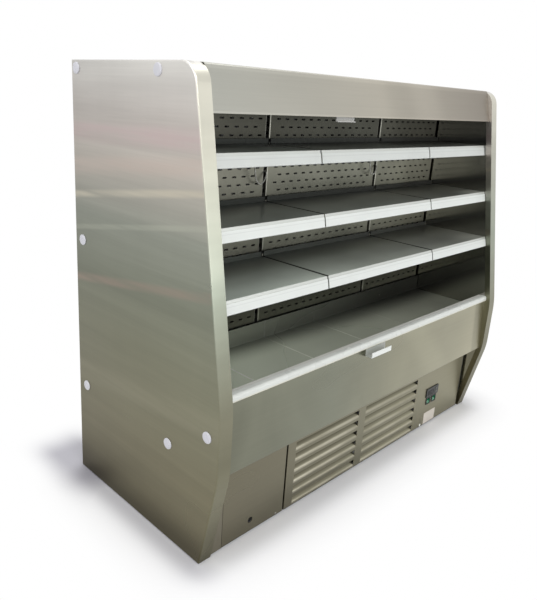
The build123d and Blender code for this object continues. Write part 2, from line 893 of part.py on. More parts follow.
def controller_key(place):
    """One key, standing proud of its pocket by more than its travel."""
    front = plinth_y - bezel_thickness
    key = along_y(Pos(*place) * Rectangle(*key_size), front - key_proud, front + key_pocket - key_back_gap)
    return chamfer(key.faces().sort_by(Axis.Y)[0].edges(), 0.4)


def rocker_pivot():
    """How far back from the panel's face the rockers turn."""
    return plinth_y - rocker_flange_thickness + rocker_pivot_depth


def rocker_housing(x):
    """Switch body behind the panel with a cavity and pin holes for its rocker."""
    front = plinth_y - rocker_flange_thickness
    flange = Pos(x, rocker_z) * RectangleRounded(*rocker_flange, 2.0)
    body = Pos(x, rocker_z) * Rectangle(*rocker_body)
    made = along_y(flange, front, plinth_y) + along_y(body, plinth_y - cut, plinth_y + rocker_body_depth)
    cavity = Pos(x, rocker_z) * Rectangle(*rocker_cavity)
    made -= along_y(cavity, front - cut, plinth_y + rocker_body_depth - rocker_back_wall)
    hole = Cylinder(rocker_pin_radius + pin_clearance, rocker_cavity[0] + 2 * rocker_pin_length + 1)
    return made - Pos(x, rocker_pivot(), rocker_z) * Rot(0, 90, 0) * hole


def rocker(x):
    """Rocker with two faces, drawn with its lower half pressed in."""
    half = rocker_size[1] / 2
    depth = rocker_pivot_depth
    rise = rocker_face_rise
    front_half = half - rocker_face_drop
    back_half = half - rocker_back_drop
    profile = outline([
        (-depth, front_half), (-depth + rise, 0), (-depth, -front_half),
        (depth / 2, -back_half), (depth / 2, back_half),
    ])
    body = along_x(profile, -rocker_size[0] / 2, rocker_size[0] / 2)
    pin_length = rocker_cavity[0] + 2 * rocker_pin_length
    body += Rot(0, 90, 0) * Cylinder(rocker_pin_radius, pin_length)
    return Pos(x, rocker_pivot(), rocker_z) * Rot(rocker_tilt_deg, 0, 0) * body


# ---------------------------------------------------------------- base


def foot_places():
    """Plan places of the levelling feet, under the front and rear rails."""
    front = frame_front_low + tube / 2
    rear = base_depth - gap - rear_rail_depth / 2
    side = inner_x - foot_side_inset
    return [(x, y) for x in (-side, 0, side) for y in (front, rear)]


def base_frame():
    """Welded tube frame with the machine tray and the post that closes the plinth."""
    x1 = inner_x - gap
    rear = base_depth - gap
    low = (frame_base, frame_base + tube)
    high = (frame_top - tube, frame_top)
    inner = x1 - tube
    frame = block((-x1, x1), (frame_front_low, frame_front_low + tube), low)
    frame += block((-x1, x1), (rear - rear_rail_depth, rear), low)
    frame += block((-x1, x1), (frame_front_high, frame_front_high + tube), high)
    frame += block((-x1, x1), (rear - tube, rear), high)
    for side in (-1, 1):
        limits = tuple(sorted((side * x1, side * inner)))
        for z in (low, high):
            frame += block(limits, (frame_front_low, rear), z)
        frame += block(limits, (frame_front_high, frame_front_high + tube), (frame_base, frame_top))
        frame += block(limits, (rear - tube, rear), (frame_base, frame_top))
    post_y = (plinth_y, frame_front_high + tube)
    frame += block((-x1, -x1 + filler_width), post_y, (plinth_base, plinth_top))
    tray_x = (-tray_half_width, tray_half_width)
    frame += block(tray_x, (frame_front_low, rear), (machine_tray_z, machine_floor_z))
    for x, y in foot_places():
        frame -= Pos(x, y, frame_base) * Cylinder(stem_radius + gap, 2 * (stem_reach + gap))
    return frame


def levelling_feet():
    """Round feet with their stems up in the frame."""
    foot = Pos(0, 0, foot_height / 2) * Cylinder(foot_radius, foot_height)
    foot = chamfer(foot.edges().sort_by(Axis.Z)[-1], foot_height / 3)
    stem_length = frame_base - foot_height + stem_reach
    foot += Pos(0, 0, foot_height + stem_length / 2) * Cylinder(stem_radius, stem_length)
    return [Pos(x, y, 0) * foot for x, y in foot_places()]


# ---------------------------------------------------------------- refrigeration


def axial_fan(radius, hub_radius, hub_length):
    """Fan about the Y axis with pitched blades and a blind bore for its shaft."""
    hub = Cylinder(hub_radius, hub_length)
    hub = fillet(hub.edges().sort_by(Axis.Z)[-1], fan_hub_round)
    root = hub_radius * blade_root_share
    root_half = hub_radius * blade_root_half_share
    tip = radius * blade_tip_share
    tip_half = radius * blade_tip_half_share
    blade_shape = outline([(root, -root_half), (tip, -tip_half), (tip, tip_half), (root, root_half)])
    blade = Rot(fan_pitch_deg, 0, 0) * along_z(blade_shape, -fan_blade_sheet / 2, fan_blade_sheet / 2)
    fan = hub
    for i in range(fan_blade_count):
        fan += Rot(0, 0, i * 360 / fan_blade_count) * blade
    fan -= along_z(Circle(shaft_radius + shaft_clearance), -hub_length / 2, hub_length / 2 - fan_hub_face)
    return Rot(90, 0, 0) * fan


def motor_strap(x, z, plate_y, hole_radius):
    """Strap across a fan hole with the motor behind it and the shaft through it."""
    reach = hole_radius + strap_width / 2
    back = plate_y + fan_hub_length / 2 + motor_gap + sheet
    strap_z = (z - strap_width / 2, z + strap_width / 2)
    strap = block((x - reach, x + reach), (back, back + strap_sheet), strap_z)
    for side in (-1, 1):
        edge = x + side * reach
        limits = tuple(sorted((edge, edge - side * strap_sheet)))
        strap += block(limits, (plate_y, back + strap_sheet), strap_z)
    motor_y = back + strap_sheet
    motor = along_y(Pos(x, z) * Circle(motor_radius), motor_y, motor_y + motor_length)
    shaft_length = fan_hub_length - fan_hub_face - shaft_tip_gap + motor_gap + strap_sheet
    shaft = along_y(Pos(x, z) * Circle(shaft_radius), motor_y - shaft_length, motor_y)
    return strap + motor + shaft


def fan_plate():
    """Plate across the well with two fan holes, the motors and a ledge for the pans."""
    x1 = inner_x - 2 * gap
    top = pan_under_z - gap
    section = folded([
        (fan_plate_y - fan_plate_flange, top), (fan_plate_y + sheet, top),
        (fan_plate_y + sheet, well_floor_z),
    ], sheet)
    plate = along_x(section, -x1, x1)
    z = fan_centre_z()
    hole_radius = evaporator_fan_radius + fan_tip_gap
    for x in evaporator_fan_xs:
        plate -= Pos(x, fan_plate_y, z) * Rot(90, 0, 0) * Cylinder(hole_radius, 6 * sheet)
        plate += motor_strap(x, z, fan_plate_y, hole_radius)
    return plate


def fan_centre_z():
    """Height of the evaporator fans, midway between the well floor and the pans."""
    return (well_floor_z + pan_under_z) / 2


def evaporator_fan(x):
    """One evaporator fan in its hole."""
    return Pos(x, fan_plate_y + sheet / 2, fan_centre_z()) * axial_fan(
        evaporator_fan_radius, fan_hub_radius, fan_hub_length
    )


def finned_block(x, y, z, pitch):
    """Coil block with its fins cut as grooves down the front and rear."""
    coil = block(x, y, z)
    count = int((x[1] - x[0]) / pitch) - 1
    middle_x = (x[0] + x[1]) / 2
    depth = min(fin_groove[1], (y[1] - y[0]) / 3)
    grooves = Sketch()
    for face_y in y:
        columns = [middle_x + c for c in centred(count, pitch)]
        grooves += slot_grid(columns, [face_y], (fin_groove[0], 2 * depth))
    return coil - along_z(grooves, z[0] - cut, z[1] + cut)


def evaporator_coil():
    """Finned coil between two end plates that stand on the well floor."""
    z0 = well_floor_z
    fin_z = (z0 + evaporator_foot, z0 + evaporator_height)
    coil = finned_block((-evaporator_half, evaporator_half), evaporator_y, fin_z, evaporator_fin_pitch)
    plate_y = (evaporator_y[0] - end_plate_margin, evaporator_y[1] + end_plate_margin)
    for side in (-1, 1):
        limits = tuple(sorted((side * evaporator_half, side * (evaporator_half + end_plate_sheet))))
        coil += block(limits, plate_y, (z0, fin_z[1] + end_plate_margin))
    return coil


def condenser_centre():
    """Middle of the condenser in the front view."""
    return (sum(condenser_x) / 2, sum(condenser_z) / 2)


def condenser_coil():
    """Finned condenser with the shroud, strap and motor of its fan."""
    rear = condenser_y + condenser_depth
    coil = finned_block(condenser_x, (condenser_y, rear), condenser_z, condenser_fin_pitch)
    x, z = condenser_centre()
    plate_y = rear + shroud_depth
    hole_radius = condenser_fan_radius + fan_tip_gap
    shroud = block(condenser_x, (rear, plate_y + sheet), condenser_z)
    inside_x = (condenser_x[0] + sheet, condenser_x[1] - sheet)
    inside_z = (condenser_z[0] + sheet, condenser_z[1] - sheet)
    shroud -= block(inside_x, (rear, plate_y), inside_z)
    shroud -= along_y(Pos(x, z) * Circle(hole_radius), plate_y - cut, plate_y + sheet + cut)
    foot_y = (condenser_y + condenser_foot_inset, rear - condenser_foot_inset)
    foot = block(condenser_x, foot_y, (machine_floor_z, condenser_z[0] + cut))
    return coil + shroud + foot + motor_strap(x, z, plate_y, hole_radius)


def condenser_fan():
    """Fan behind the condenser."""
    x, z = condenser_centre()
    y = condenser_y + condenser_depth + shroud_depth + sheet / 2
    return Pos(x, y, z) * axial_fan(condenser_fan_radius, fan_hub_radius, fan_hub_length)


def stub_places():
    """Plan places of the compressor's discharge and suction stubs."""
    x, y = compressor_centre
    return [(x + dx, y + dy) for dx, dy in stub_offsets]


def compressor():
    """Hermetic compressor on its foot plate, with a terminal box and two stubs."""
    x, y = compressor_centre
    r = compressor_radius
    base = compressor_base
    half_section = outline(
        [(0, base), (r, base), (r, compressor_top), (0, compressor_top)],
        [0, compressor_foot_round, compressor_dome_round, 0],
    )
    made = Pos(x, y, 0) * Rot(90, 0, 0) * revolve(half_section, Axis.Y)
    plate = Pos(x, y) * RectangleRounded(*compressor_plate, compressor_plate_round)
    plate_z = base - compressor_plate_sheet
    made += along_z(plate, plate_z, base + compressor_plate_sheet)
    for dx in (-leg_spread[0], leg_spread[0]):
        for dy in (-leg_spread[1], leg_spread[1]):
            leg = Pos(x + dx, y + dy) * Circle(leg_radius)
            made += along_z(leg, machine_floor_z, plate_z + cut)
    box_x, box_y, box_z = terminal_box
    box_plan = Pos(x, y - r - terminal_box_proud + box_y / 2) * Rectangle(box_x, box_y)
    box_base = base + terminal_box_rise
    made += along_z(box_plan, box_base, box_base + box_z)
    for place in stub_places():
        made += along_z(Pos(*place) * Circle(stub_radius), compressor_top - stub_sunk, stub_top)
    return made


def pipe_routes():
    """Corner points of the three pipes: discharge, suction and liquid line."""
    (dx, dy), (sx, sy) = stub_places()
    right = condenser_x[1]
    middle = condenser_y + condenser_depth / 2
    high = stub_top + pipe_rise
    discharge = [(dx, dy, stub_top), (dx, dy, high), (dx, middle, high), (right, middle, high)]
    coil_side = evaporator_half + end_plate_sheet
    coil_y = sum(evaporator_y) / 2
    turn_x = coil_side + suction_beside_coil
    coil_z = well_floor_z + suction_height
    suction = [
        (sx, sy, stub_top), (sx, sy, high), (turn_x, sy, high), (turn_x, coil_y, high),
        (turn_x, coil_y, coil_z), (coil_side, coil_y, coil_z),
    ]
    front = middle + liquid_inset
    low = condenser_z[0] + liquid_low
    near_x = right + liquid_turn[0]
    far_x = coil_side + liquid_beside_coil
    behind = middle + liquid_turn[1]
    coil_y += liquid_behind_suction
    coil_z = well_floor_z + liquid_height
    liquid = [
        (right, front, low), (near_x, front, low), (near_x, behind, low), (far_x, behind, low),
        (far_x, coil_y, low), (far_x, coil_y, coil_z), (coil_side, coil_y, coil_z),
    ]
    return [discharge, suction, liquid]


def well_pipe_holes():
    """Where the suction pipe and the liquid line rise through the well: x, y, radius."""
    _, suction, liquid = pipe_routes()
    radius = pipe_radius + pipe_hole_gap
    return [(suction[3][0], suction[3][1], radius), (liquid[4][0], liquid[4][1], radius)]


def refrigerant_pipes():
    """Copper pipes between compressor, condenser and evaporator."""
    pipes = []
    for route in pipe_routes():
        path = FilletPolyline(*route, radius=pipe_bend)
        pipes.append(sweep(Plane(origin=path @ 0, z_dir=path % 0) * Circle(pipe_radius), path=path))
    return pipes


# ---------------------------------------------------------------- writing


def write(name, pieces):
    """Write one node from a solid or a list of separate solids."""
    group = pieces if isinstance(pieces, list) else [pieces]
    solids = [solid for piece in group for solid in piece.solids()]
    moved = [Pos(0, shift_y, 0) * solid for solid in solids]
    shape = moved[0] if len(moved) == 1 else Compound(children=moved)
    export_step(shape, f"parts/{name}.step")


os.makedirs("parts", exist_ok=True)

end_face, end_core = end_pair()
write("end_skin_left", end_face)
write("end_skin_right", mirrored(end_face))
write("end_liner_left", end_core)
write("end_liner_right", mirrored(end_core))
write("end_bolt_caps", end_caps())
write("canopy_cover", canopy_cover())
write("canopy_liner", canopy_liner())
write("air_outlet_grille", outlet_grille())
write("insulated_back", insulated_back())
write("insulated_well", insulated_well())

write("blind_roller", blind_roller())
write("blind_bar", blind_bar())
write("blind_handle", blind_handle())
write("blind_cloth", blind_cloth())
write("blind_catch", blind_catch())

write("slotted_uprights", slotted_uprights())
for side, panel in zip(("left", "middle", "right"), back_panels()):
    write(f"back_panel_{side}", panel)
shelf_trays, ticket_strips, shelf_brackets = shelf_pieces()
for name, tray in shelf_trays.items():
    write(name, tray)
write("ticket_strips", ticket_strips)
write("shelf_brackets", shelf_brackets)
write("shelf_lamps", shelf_lamps())
write("lamp_lead_left", lead(lead_left_route, lead_radius))
write("lamp_lead_right", lead(lead_right_route, lead_radius))

for i, pan in enumerate(deck_pans(), start=1):
    write(f"deck_pan_{i}", pan)
write("return_air_grille", return_grille())

write("front_panel", front_panel())
write("bumper_rail", bumper_rail())
write("access_panel", access_panel())
write("louvre_panel", louvre_panel())
write("controller", controller())
for name, place in zip(("controller_key_up", "controller_key_down"), key_places()):
    write(name, controller_key(place))
write("rocker_housings", [rocker_housing(x) for x in rocker_xs])
for name, x in zip(("lamp_rocker", "fan_rocker"), rocker_xs):
    write(name, rocker(x))

write("base_frame", base_frame())
write("levelling_feet", levelling_feet())
write("compressor", compressor())
write("condenser_coil", condenser_coil())
write("condenser_fan", condenser_fan())
write("refrigerant_pipes", refrigerant_pipes())
write("evaporator_coil", evaporator_coil())
write("evaporator_fan_plate", fan_plate())
for name, x in zip(("evaporator_fan_left", "evaporator_fan_right"), evaporator_fan_xs):
    write(name, evaporator_fan(x))
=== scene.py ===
import math

import bpy
from mathutils import Matrix, Vector


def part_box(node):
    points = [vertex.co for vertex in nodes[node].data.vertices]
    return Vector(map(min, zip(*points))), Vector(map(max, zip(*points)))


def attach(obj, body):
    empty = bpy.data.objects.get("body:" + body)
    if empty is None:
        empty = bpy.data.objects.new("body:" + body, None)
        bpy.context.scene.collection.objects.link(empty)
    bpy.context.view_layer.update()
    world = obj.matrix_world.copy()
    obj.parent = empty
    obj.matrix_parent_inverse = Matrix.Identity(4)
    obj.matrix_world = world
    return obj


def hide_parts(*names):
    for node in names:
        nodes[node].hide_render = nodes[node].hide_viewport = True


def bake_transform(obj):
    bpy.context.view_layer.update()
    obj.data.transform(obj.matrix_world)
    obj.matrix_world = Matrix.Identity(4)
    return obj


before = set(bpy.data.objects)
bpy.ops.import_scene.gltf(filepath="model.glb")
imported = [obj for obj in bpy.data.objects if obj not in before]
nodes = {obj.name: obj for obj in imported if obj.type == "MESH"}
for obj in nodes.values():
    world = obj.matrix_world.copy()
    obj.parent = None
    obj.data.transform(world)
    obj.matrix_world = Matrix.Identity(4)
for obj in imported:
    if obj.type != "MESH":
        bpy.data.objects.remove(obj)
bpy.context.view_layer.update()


def place(x, y, z):
    """A point of the CAD drawing, millimetres from the toe of the ends, in the frame's metres."""
    return Vector((x, y - 275.5, z)) / 1000


# ------------------------------------------------------------------ camera and stage

# The photograph is 537 by 600 pixels. These are its camera's place and turn, worked out
# from the corners of the two end panels and of the shelves.
IMAGE = (537, 600)
FOCAL_PIXELS = 613.08
CENTRE_PIXEL = (251.14, 283.03)
CAMERA_PLACE = Vector((-1.656, -1.3145, 1.230))
CAMERA_YAW, CAMERA_PITCH, CAMERA_ROLL = (math.radians(a) for a in (45.25, -16.92, 3.36))


def add_camera():
    """Camera at the photograph's place, turn and framing."""
    data = bpy.data.cameras.new("camera")
    data.sensor_fit = "VERTICAL"
    data.sensor_height = 24.0
    data.lens = FOCAL_PIXELS / IMAGE[1] * data.sensor_height
    data.shift_x = (IMAGE[0] / 2 - CENTRE_PIXEL[0]) / IMAGE[1]
    data.shift_y = (CENTRE_PIXEL[1] - IMAGE[1] / 2) / IMAGE[1]
    data.clip_end = 50.0
    camera = bpy.data.objects.new("camera", data)
    forward = Vector((
        math.sin(CAMERA_YAW) * math.cos(CAMERA_PITCH),
        math.cos(CAMERA_YAW) * math.cos(CAMERA_PITCH),
        math.sin(CAMERA_PITCH),
    ))
    level_right = forward.cross(Vector((0, 0, 1))).normalized()
    level_up = level_right.cross(forward)
    right = level_right * math.cos(CAMERA_ROLL) + level_up * math.sin(CAMERA_ROLL)
    up = level_up * math.cos(CAMERA_ROLL) - level_right * math.sin(CAMERA_ROLL)
    turn = Matrix((right, up, -forward)).transposed()
    camera.matrix_world = Matrix.Translation(CAMERA_PLACE) @ turn.to_4x4()
    bpy.context.scene.collection.objects.link(camera)
    bpy.context.scene.camera = camera


def add_lamp(name, place, aim, size, power):
    """Soft area lamp turned towards a point."""
    data = bpy.data.lights.new(name, "AREA")
    data.shape = "RECTANGLE"
    data.size, data.size_y = size
    data.energy = power
    lamp = bpy.data.objects.new(name, data)
    lamp.location = place
    lamp.rotation_euler = (Vector(aim) - Vector(place)).to_track_quat("-Z", "Y").to_euler()
    bpy.context.scene.collection.objects.link(lamp)


def add_world(light):
    """Even light from all round, and a white background for the camera, metal and glass."""
    world = bpy.data.worlds.new("studio")
    world.use_nodes = True
    bpy.context.scene.world = world
    tree = world.node_tree
    tree.nodes.clear()
    output = tree.nodes.new("ShaderNodeOutputWorld")
    shade = tree.nodes.new("ShaderNodeMixShader")
    dim = tree.nodes.new("ShaderNodeBackground")
    bright = tree.nodes.new("ShaderNodeBackground")
    for node, strength in ((dim, light), (bright, 1.0)):
        node.inputs["Color"].default_value = (1, 1, 1, 1)
        node.inputs["Strength"].default_value = strength
    tree.links.new(seen_directly(tree), shade.inputs["Fac"])
    tree.links.new(dim.outputs[0], shade.inputs[1])
    tree.links.new(bright.outputs[0], shade.inputs[2])
    tree.links.new(shade.outputs[0], output.inputs["Surface"])


def seen_directly(tree):
    """1 where the camera, a gloss or a transmission looks, and 0 for diffuse light."""
    path = tree.nodes.new("ShaderNodeLightPath")
    gloss = tree.nodes.new("ShaderNodeMath")
    gloss.operation = "MAXIMUM"
    tree.links.new(path.outputs["Is Camera Ray"], gloss.inputs[0])
    tree.links.new(path.outputs["Is Glossy Ray"], gloss.inputs[1])
    both = tree.nodes.new("ShaderNodeMath")
    both.operation = "MAXIMUM"
    tree.links.new(gloss.outputs[0], both.inputs[0])
    tree.links.new(path.outputs["Is Transmission Ray"], both.inputs[1])
    return both.outputs[0]


# Half the floor's width, and half the width and depth that its shadow lies beside, metres.
FLOOR_REACH = 30.0
FOOTPRINT = (0.72, 0.265)


def add_floor(colour, glow):
    """Pale floor that keeps the shadow round the object, adds a painted shadow by the left end and at the rear left
    corner, and runs out into plain white.
    """
    mesh = bpy.data.meshes.new("floor")
    corners = [(x * FLOOR_REACH, y * FLOOR_REACH, 0) for x, y in ((-1, -1), (1, -1), (1, 1), (-1, 1))]
    mesh.from_pydata([Vector(c) for c in corners], [], [(0, 1, 2, 3)])
    floor = bpy.data.objects.new("floor", mesh)
    bpy.context.scene.collection.objects.link(floor)
    look = Look("floor", roughness=0.9)
    tree = look.tree
    squares = []
    for axis, half in enumerate(FOOTPRINT):
        out = look.either(look.math("SUBTRACT", look.math("ABSOLUTE", look.part(axis)), half), 0.0)
        squares.append(look.math("POWER", out, 2.0))
    away = look.math("SQRT", look.math("ADD", *squares))
    # Painted shadow on the floor by the left end and at the rear left corner.
    beside = look.times(look.between(look.part(0), -0.70, -0.80), look.between(away, 0.15, 0.0))
    rear_corner_shadow = look.times(look.band(0, -0.74, 0.04, 0.13), look.band(1, 0.36, 0.08, 0.20))
    dark = look.either(look.times(beside, 0.75), look.times(rear_corner_shadow, 0.85))
    look.colour(look.mix("MULTIPLY", dark, colour, (0.36, 0.35, 0.40)))
    emission = tree.nodes.new("ShaderNodeEmission")
    white = tree.nodes.new("ShaderNodeEmission")
    near = look.times(look.between(away, 0.04, 0.12), glow)
    tree.links.new(look.times(near, seen_directly(tree)), emission.inputs["Strength"])
    lit = tree.nodes.new("ShaderNodeAddShader")
    tree.links.new(look.shader.outputs[0], lit.inputs[0])
    tree.links.new(emission.outputs[0], lit.inputs[1])
    fade = tree.nodes.new("ShaderNodeMixShader")
    white_out = look.times(look.between(away, 0.03, 0.24), look.math("SUBTRACT", 1.0, rear_corner_shadow))
    tree.links.new(look.times(white_out, seen_directly(tree)), fade.inputs["Fac"])
    tree.links.new(lit.outputs[0], fade.inputs[1])
    tree.links.new(white.outputs[0], fade.inputs[2])
    tree.links.new(fade.outputs[0], tree.nodes["Material Output"].inputs["Surface"])
    mesh.materials.append(look.material)


# ------------------------------------------------------------------ materials


def linear(r, g, b):
    """A colour as it looks on screen, 0 to 255, in the shader's linear values."""
    def channel(v):
        v /= 255
        return v / 12.92 if v <= 0.04045 else ((v + 0.055) / 1.055) ** 2.4
    return (channel(r), channel(g), channel(b))


# A noise texture's level stays within this range nearly everywhere.
PATTERN_SPAN = (0.3, 0.7)


class Look:
    """One node material round a Principled shader, with short calls for its pattern."""

    def __init__(self, name, metallic=0.0, roughness=0.5, **sockets):
        self.material = bpy.data.materials.new(name)
        self.material.use_nodes = True
        self.tree = self.material.node_tree
        self.shader = self.tree.nodes["Principled BSDF"]
        self.shader.inputs["Metallic"].default_value = metallic
        self.shader.inputs["Roughness"].default_value = roughness
        for socket, value in sockets.items():
            self.shader.inputs[socket.replace("_", " ")].default_value = value
        self.coordinates = self.tree.nodes.new("ShaderNodeTexCoord").outputs["Object"]
        self.split = self.tree.nodes.new("ShaderNodeSeparateXYZ")
        self.tree.links.new(self.coordinates, self.split.inputs[0])

    def feed(self, target, value):
        """Link or set one input."""
        if isinstance(value, bpy.types.NodeSocket):
            self.tree.links.new(value, target)
        elif isinstance(value, tuple) and len(value) == 3 and target.type == "RGBA":
            target.default_value = (*value, 1)
        else:
            target.default_value = value

    def part(self, axis):
        """The place along an axis, in metres."""
        return self.split.outputs[axis]

    def math(self, operation, *values):
        """One step of arithmetic."""
        node = self.tree.nodes.new("ShaderNodeMath")
        node.operation = operation
        for socket, value in zip(node.inputs, values):
            self.feed(socket, value)
        return node.outputs[0]

    def times(self, a, b):
        """Two levels or masks multiplied."""
        return self.math("MULTIPLY", a, b)

    def either(self, a, b):
        """The larger of two levels or masks."""
        return self.math("MAXIMUM", a, b)

    def lean(self, axis, other, slope):
        """The place along an axis, leaning with the place along another."""
        return self.math("ADD", self.part(axis), self.times(self.part(other), slope))

    def mapped(self, value, limits, results, smooth=False):
        """A value's range carried to another range."""
        node = self.tree.nodes.new("ShaderNodeMapRange")
        node.interpolation_type = "SMOOTHSTEP" if smooth else "LINEAR"
        for socket, number in zip(("From Min", "From Max", "To Min", "To Max"), (*limits, *results)):
            node.inputs[socket].default_value = number
        self.feed(node.inputs["Value"], value)
        return node.outputs["Result"]

    def between(self, value, low, high):
        """0 below low and 1 above high, with a soft step."""
        return self.mapped(value, (low, high), (0.0, 1.0), smooth=True)

    def band(self, axis, centre, half, soft, period=None):
        """1 near a place along an axis or of a value, and 0 away from it, repeated at each period."""
        off = self.math("SUBTRACT", self.part(axis) if isinstance(axis, int) else axis, centre)
        if period:
            off = self.math("WRAP", off, period / 2, -period / 2)
        return self.mapped(self.math("ABSOLUTE", off), (half, half + soft), (1.0, 0.0), smooth=True)

    def facing(self, axis, low, high):
        """1 where the surface turns to an axis by more than high, and 0 under low."""
        geometry = self.tree.nodes.new("ShaderNodeNewGeometry")
        split = self.tree.nodes.new("ShaderNodeSeparateXYZ")
        self.tree.links.new(geometry.outputs["Normal"], split.inputs[0])
        return self.between(split.outputs[axis], low, high)

    def pattern(self, kind, stretch, **settings):
        """A texture node whose frequency along X, Y and Z is stretch, in waves per metre."""
        mapping = self.tree.nodes.new("ShaderNodeMapping")
        mapping.inputs["Scale"].default_value = stretch
        self.tree.links.new(self.coordinates, mapping.inputs["Vector"])
        node = self.tree.nodes.new(kind)
        for name, value in settings.items():
            if name in node.inputs:
                node.inputs[name].default_value = value
            else:
                setattr(node, name, value)
        self.tree.links.new(mapping.outputs[0], node.inputs["Vector"])
        return node

    def noise(self, stretch, detail=3.0, roughness=0.55, distortion=0.0):
        """Soft random levels."""
        node = self.pattern("ShaderNodeTexNoise", stretch, Scale=1.0, Detail=detail,
                            Roughness=roughness, Distortion=distortion)
        return node.outputs["Fac"]

    def cells(self, stretch):
        """A different level in each cell."""
        node = self.pattern("ShaderNodeTexVoronoi", stretch, Scale=1.0)
        split = self.tree.nodes.new("ShaderNodeSeparateColor")
        self.tree.links.new(node.outputs["Color"], split.inputs[0])
        return split.outputs[0]

    def specks(self, per_metre, share, size):
        """1 in a few small round spots and 0 elsewhere."""
        node = self.pattern("ShaderNodeTexVoronoi", (per_metre,) * 3, Scale=1.0)
        split = self.tree.nodes.new("ShaderNodeSeparateColor")
        self.tree.links.new(node.outputs["Color"], split.inputs[0])
        chosen = self.math("LESS_THAN", split.outputs[0], share)
        spot = self.mapped(node.outputs["Distance"], (0.4 * size * per_metre, size * per_metre), (1.0, 0.0))
        return self.times(chosen, spot)

    def ramp(self, factor, stops):
        """Colours or levels by position."""
        node = self.tree.nodes.new("ShaderNodeValToRGB")
        elements = node.color_ramp.elements
        while len(elements) < len(stops):
            elements.new(0.5)
        for element, (position, colour) in zip(elements, stops):
            if not isinstance(colour, tuple):
                colour = (colour, colour, colour)
            element.position = position
            element.color = (*colour, 1)
        self.tree.links.new(factor, node.inputs["Fac"])
        return node.outputs["Color"]

    def mix(self, kind, factor, a, b):
        """Two colours mixed or multiplied."""
        node = self.tree.nodes.new("ShaderNodeMix")
        node.data_type = "RGBA"
        node.blend_type = kind
        self.feed(node.inputs["Factor"], factor)
        self.feed(node.inputs[6], a)
        self.feed(node.inputs[7], b)
        return node.outputs[2]

    def vary(self, colour, pattern, low, high, span=PATTERN_SPAN):
        """The colour times a level that runs from low to high as the pattern runs over span."""
        level = self.mapped(pattern, span, (low, high))
        joined = self.tree.nodes.new("ShaderNodeCombineColor")
        for socket in joined.inputs:
            self.tree.links.new(level, socket)
        return self.mix("MULTIPLY", 1.0, colour, joined.outputs[0])

    def shade(self, colour, mask, low, high):
        """The colour times low where the mask is 0, and times high where it is 1."""
        return self.vary(colour, mask, low, high, (0.0, 1.0))

    def colour(self, value):
        """Set or link the base colour."""
        self.feed(self.shader.inputs["Base Color"], value)

    def rough(self, pattern, low, high):
        """Roughness from low to high over the pattern's usual range."""
        self.feed(self.shader.inputs["Roughness"], self.mapped(pattern, PATTERN_SPAN, (low, high)))

    def bump(self, height, distance, strength):
        """Relief, on top of the relief that is there."""
        node = self.tree.nodes.new("ShaderNodeBump")
        node.inputs["Strength"].default_value = strength
        node.inputs["Distance"].default_value = distance
        self.feed(node.inputs["Height"], height)
        previous = self.shader.inputs["Normal"]
        if previous.is_linked:
            self.tree.links.new(previous.links[0].from_socket, node.inputs["Normal"])
        self.tree.links.new(node.outputs["Normal"], previous)


def brushed(name, tones, along="X", by=2, span=(0.0, 1.3), roughness=(0.26, 0.40), clouds=0.05, grit=1.0,
            touches=None, metallic=1.0, **sockets):
    """Brushed steel: fine grain and faint streaks along one axis, soft clouds and a slow change of tone.
    grit scales the grain and the streaks, and touches adds what only this piece has."""
    look = Look(name, metallic=metallic, roughness=0.34, Anisotropic=0.4, **sockets)
    grain = look.noise([5 if axis == along else 420 for axis in "XYZ"], detail=1, roughness=0.4)
    streaks = look.noise([1.2 if axis == along else 120 for axis in "XYZ"], detail=2, roughness=0.4)
    drift = look.noise((1.6, 1.6, 2.6), detail=2, roughness=0.5, distortion=0.3)
    tone = look.ramp(look.mapped(look.part(by), span, (0.0, 1.0)), tones)
    tone = look.vary(tone, drift, 1 - clouds, 1 + clouds * 0.7)
    tone = look.vary(tone, streaks, 1 - 0.012 * grit, 1 + 0.01 * grit)
    tone = look.vary(tone, grain, 1 - 0.016 * grit, 1 + 0.012 * grit)
    if touches:
        tone = touches(look, tone)
    look.colour(tone)
    look.rough(drift, *roughness)
    return look.material


def satin(name, colour, roughness=(0.35, 0.5), metallic=0.0, grain=0.00003, mottle=0.025, touches=None, **sockets):
    """Painted, coated or moulded surface with faint mottling and a fine texture."""
    look = Look(name, metallic=metallic, roughness=0.45, **sockets)
    soft = look.noise((9, 9, 9), detail=3)
    fine = look.noise((900, 900, 900), detail=2)
    shades = [tuple(c * level for c in colour) for level in (1 - mottle, 1 + mottle)]
    tone = look.ramp(soft, list(zip(PATTERN_SPAN, shades)))
    if touches:
        tone = touches(look, tone)
    look.colour(tone)
    look.rough(soft, *roughness)
    look.bump(fine, grain, 0.4)
    return look.material


def dress(material, *names):
    """Give CAD nodes a material."""
    for name in names:
        for holder in nodes[name].material_slots:
            holder.material = material


def tones(*stops):
    """Ramp stops from positions and screen colours."""
    return [(position, linear(*colour)) for position, *colour in stops]


# ------------------------------------------------------------------ pieces

UP = Vector((0, 0, 1))
FORWARDS = Vector((0, -1, 0))


def smooth(mesh, degrees=32):
    """Soft shading across bends, with the real edges kept sharp."""
    mesh.shade_smooth()
    mesh.set_sharp_from_angle(angle=math.radians(degrees))


def piece(name, parts, material, body="root", stands_for=()):
    """One object from lists of corners and faces, riding on a body and standing for CAD nodes."""
    corners, faces = [], []
    for part_corners, part_faces in parts:
        faces += [[i + len(corners) for i in face] for face in part_faces]
        corners += part_corners
    mesh = bpy.data.meshes.new(name)
    mesh.from_pydata(corners, [], faces)
    mesh.validate()
    smooth(mesh)
    mesh.materials.append(material)
    made = bpy.data.objects.new(name, mesh)
    bpy.context.scene.collection.objects.link(made)
    if body:
        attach(made, body)
    if stands_for:
        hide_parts(*stands_for)
    return made


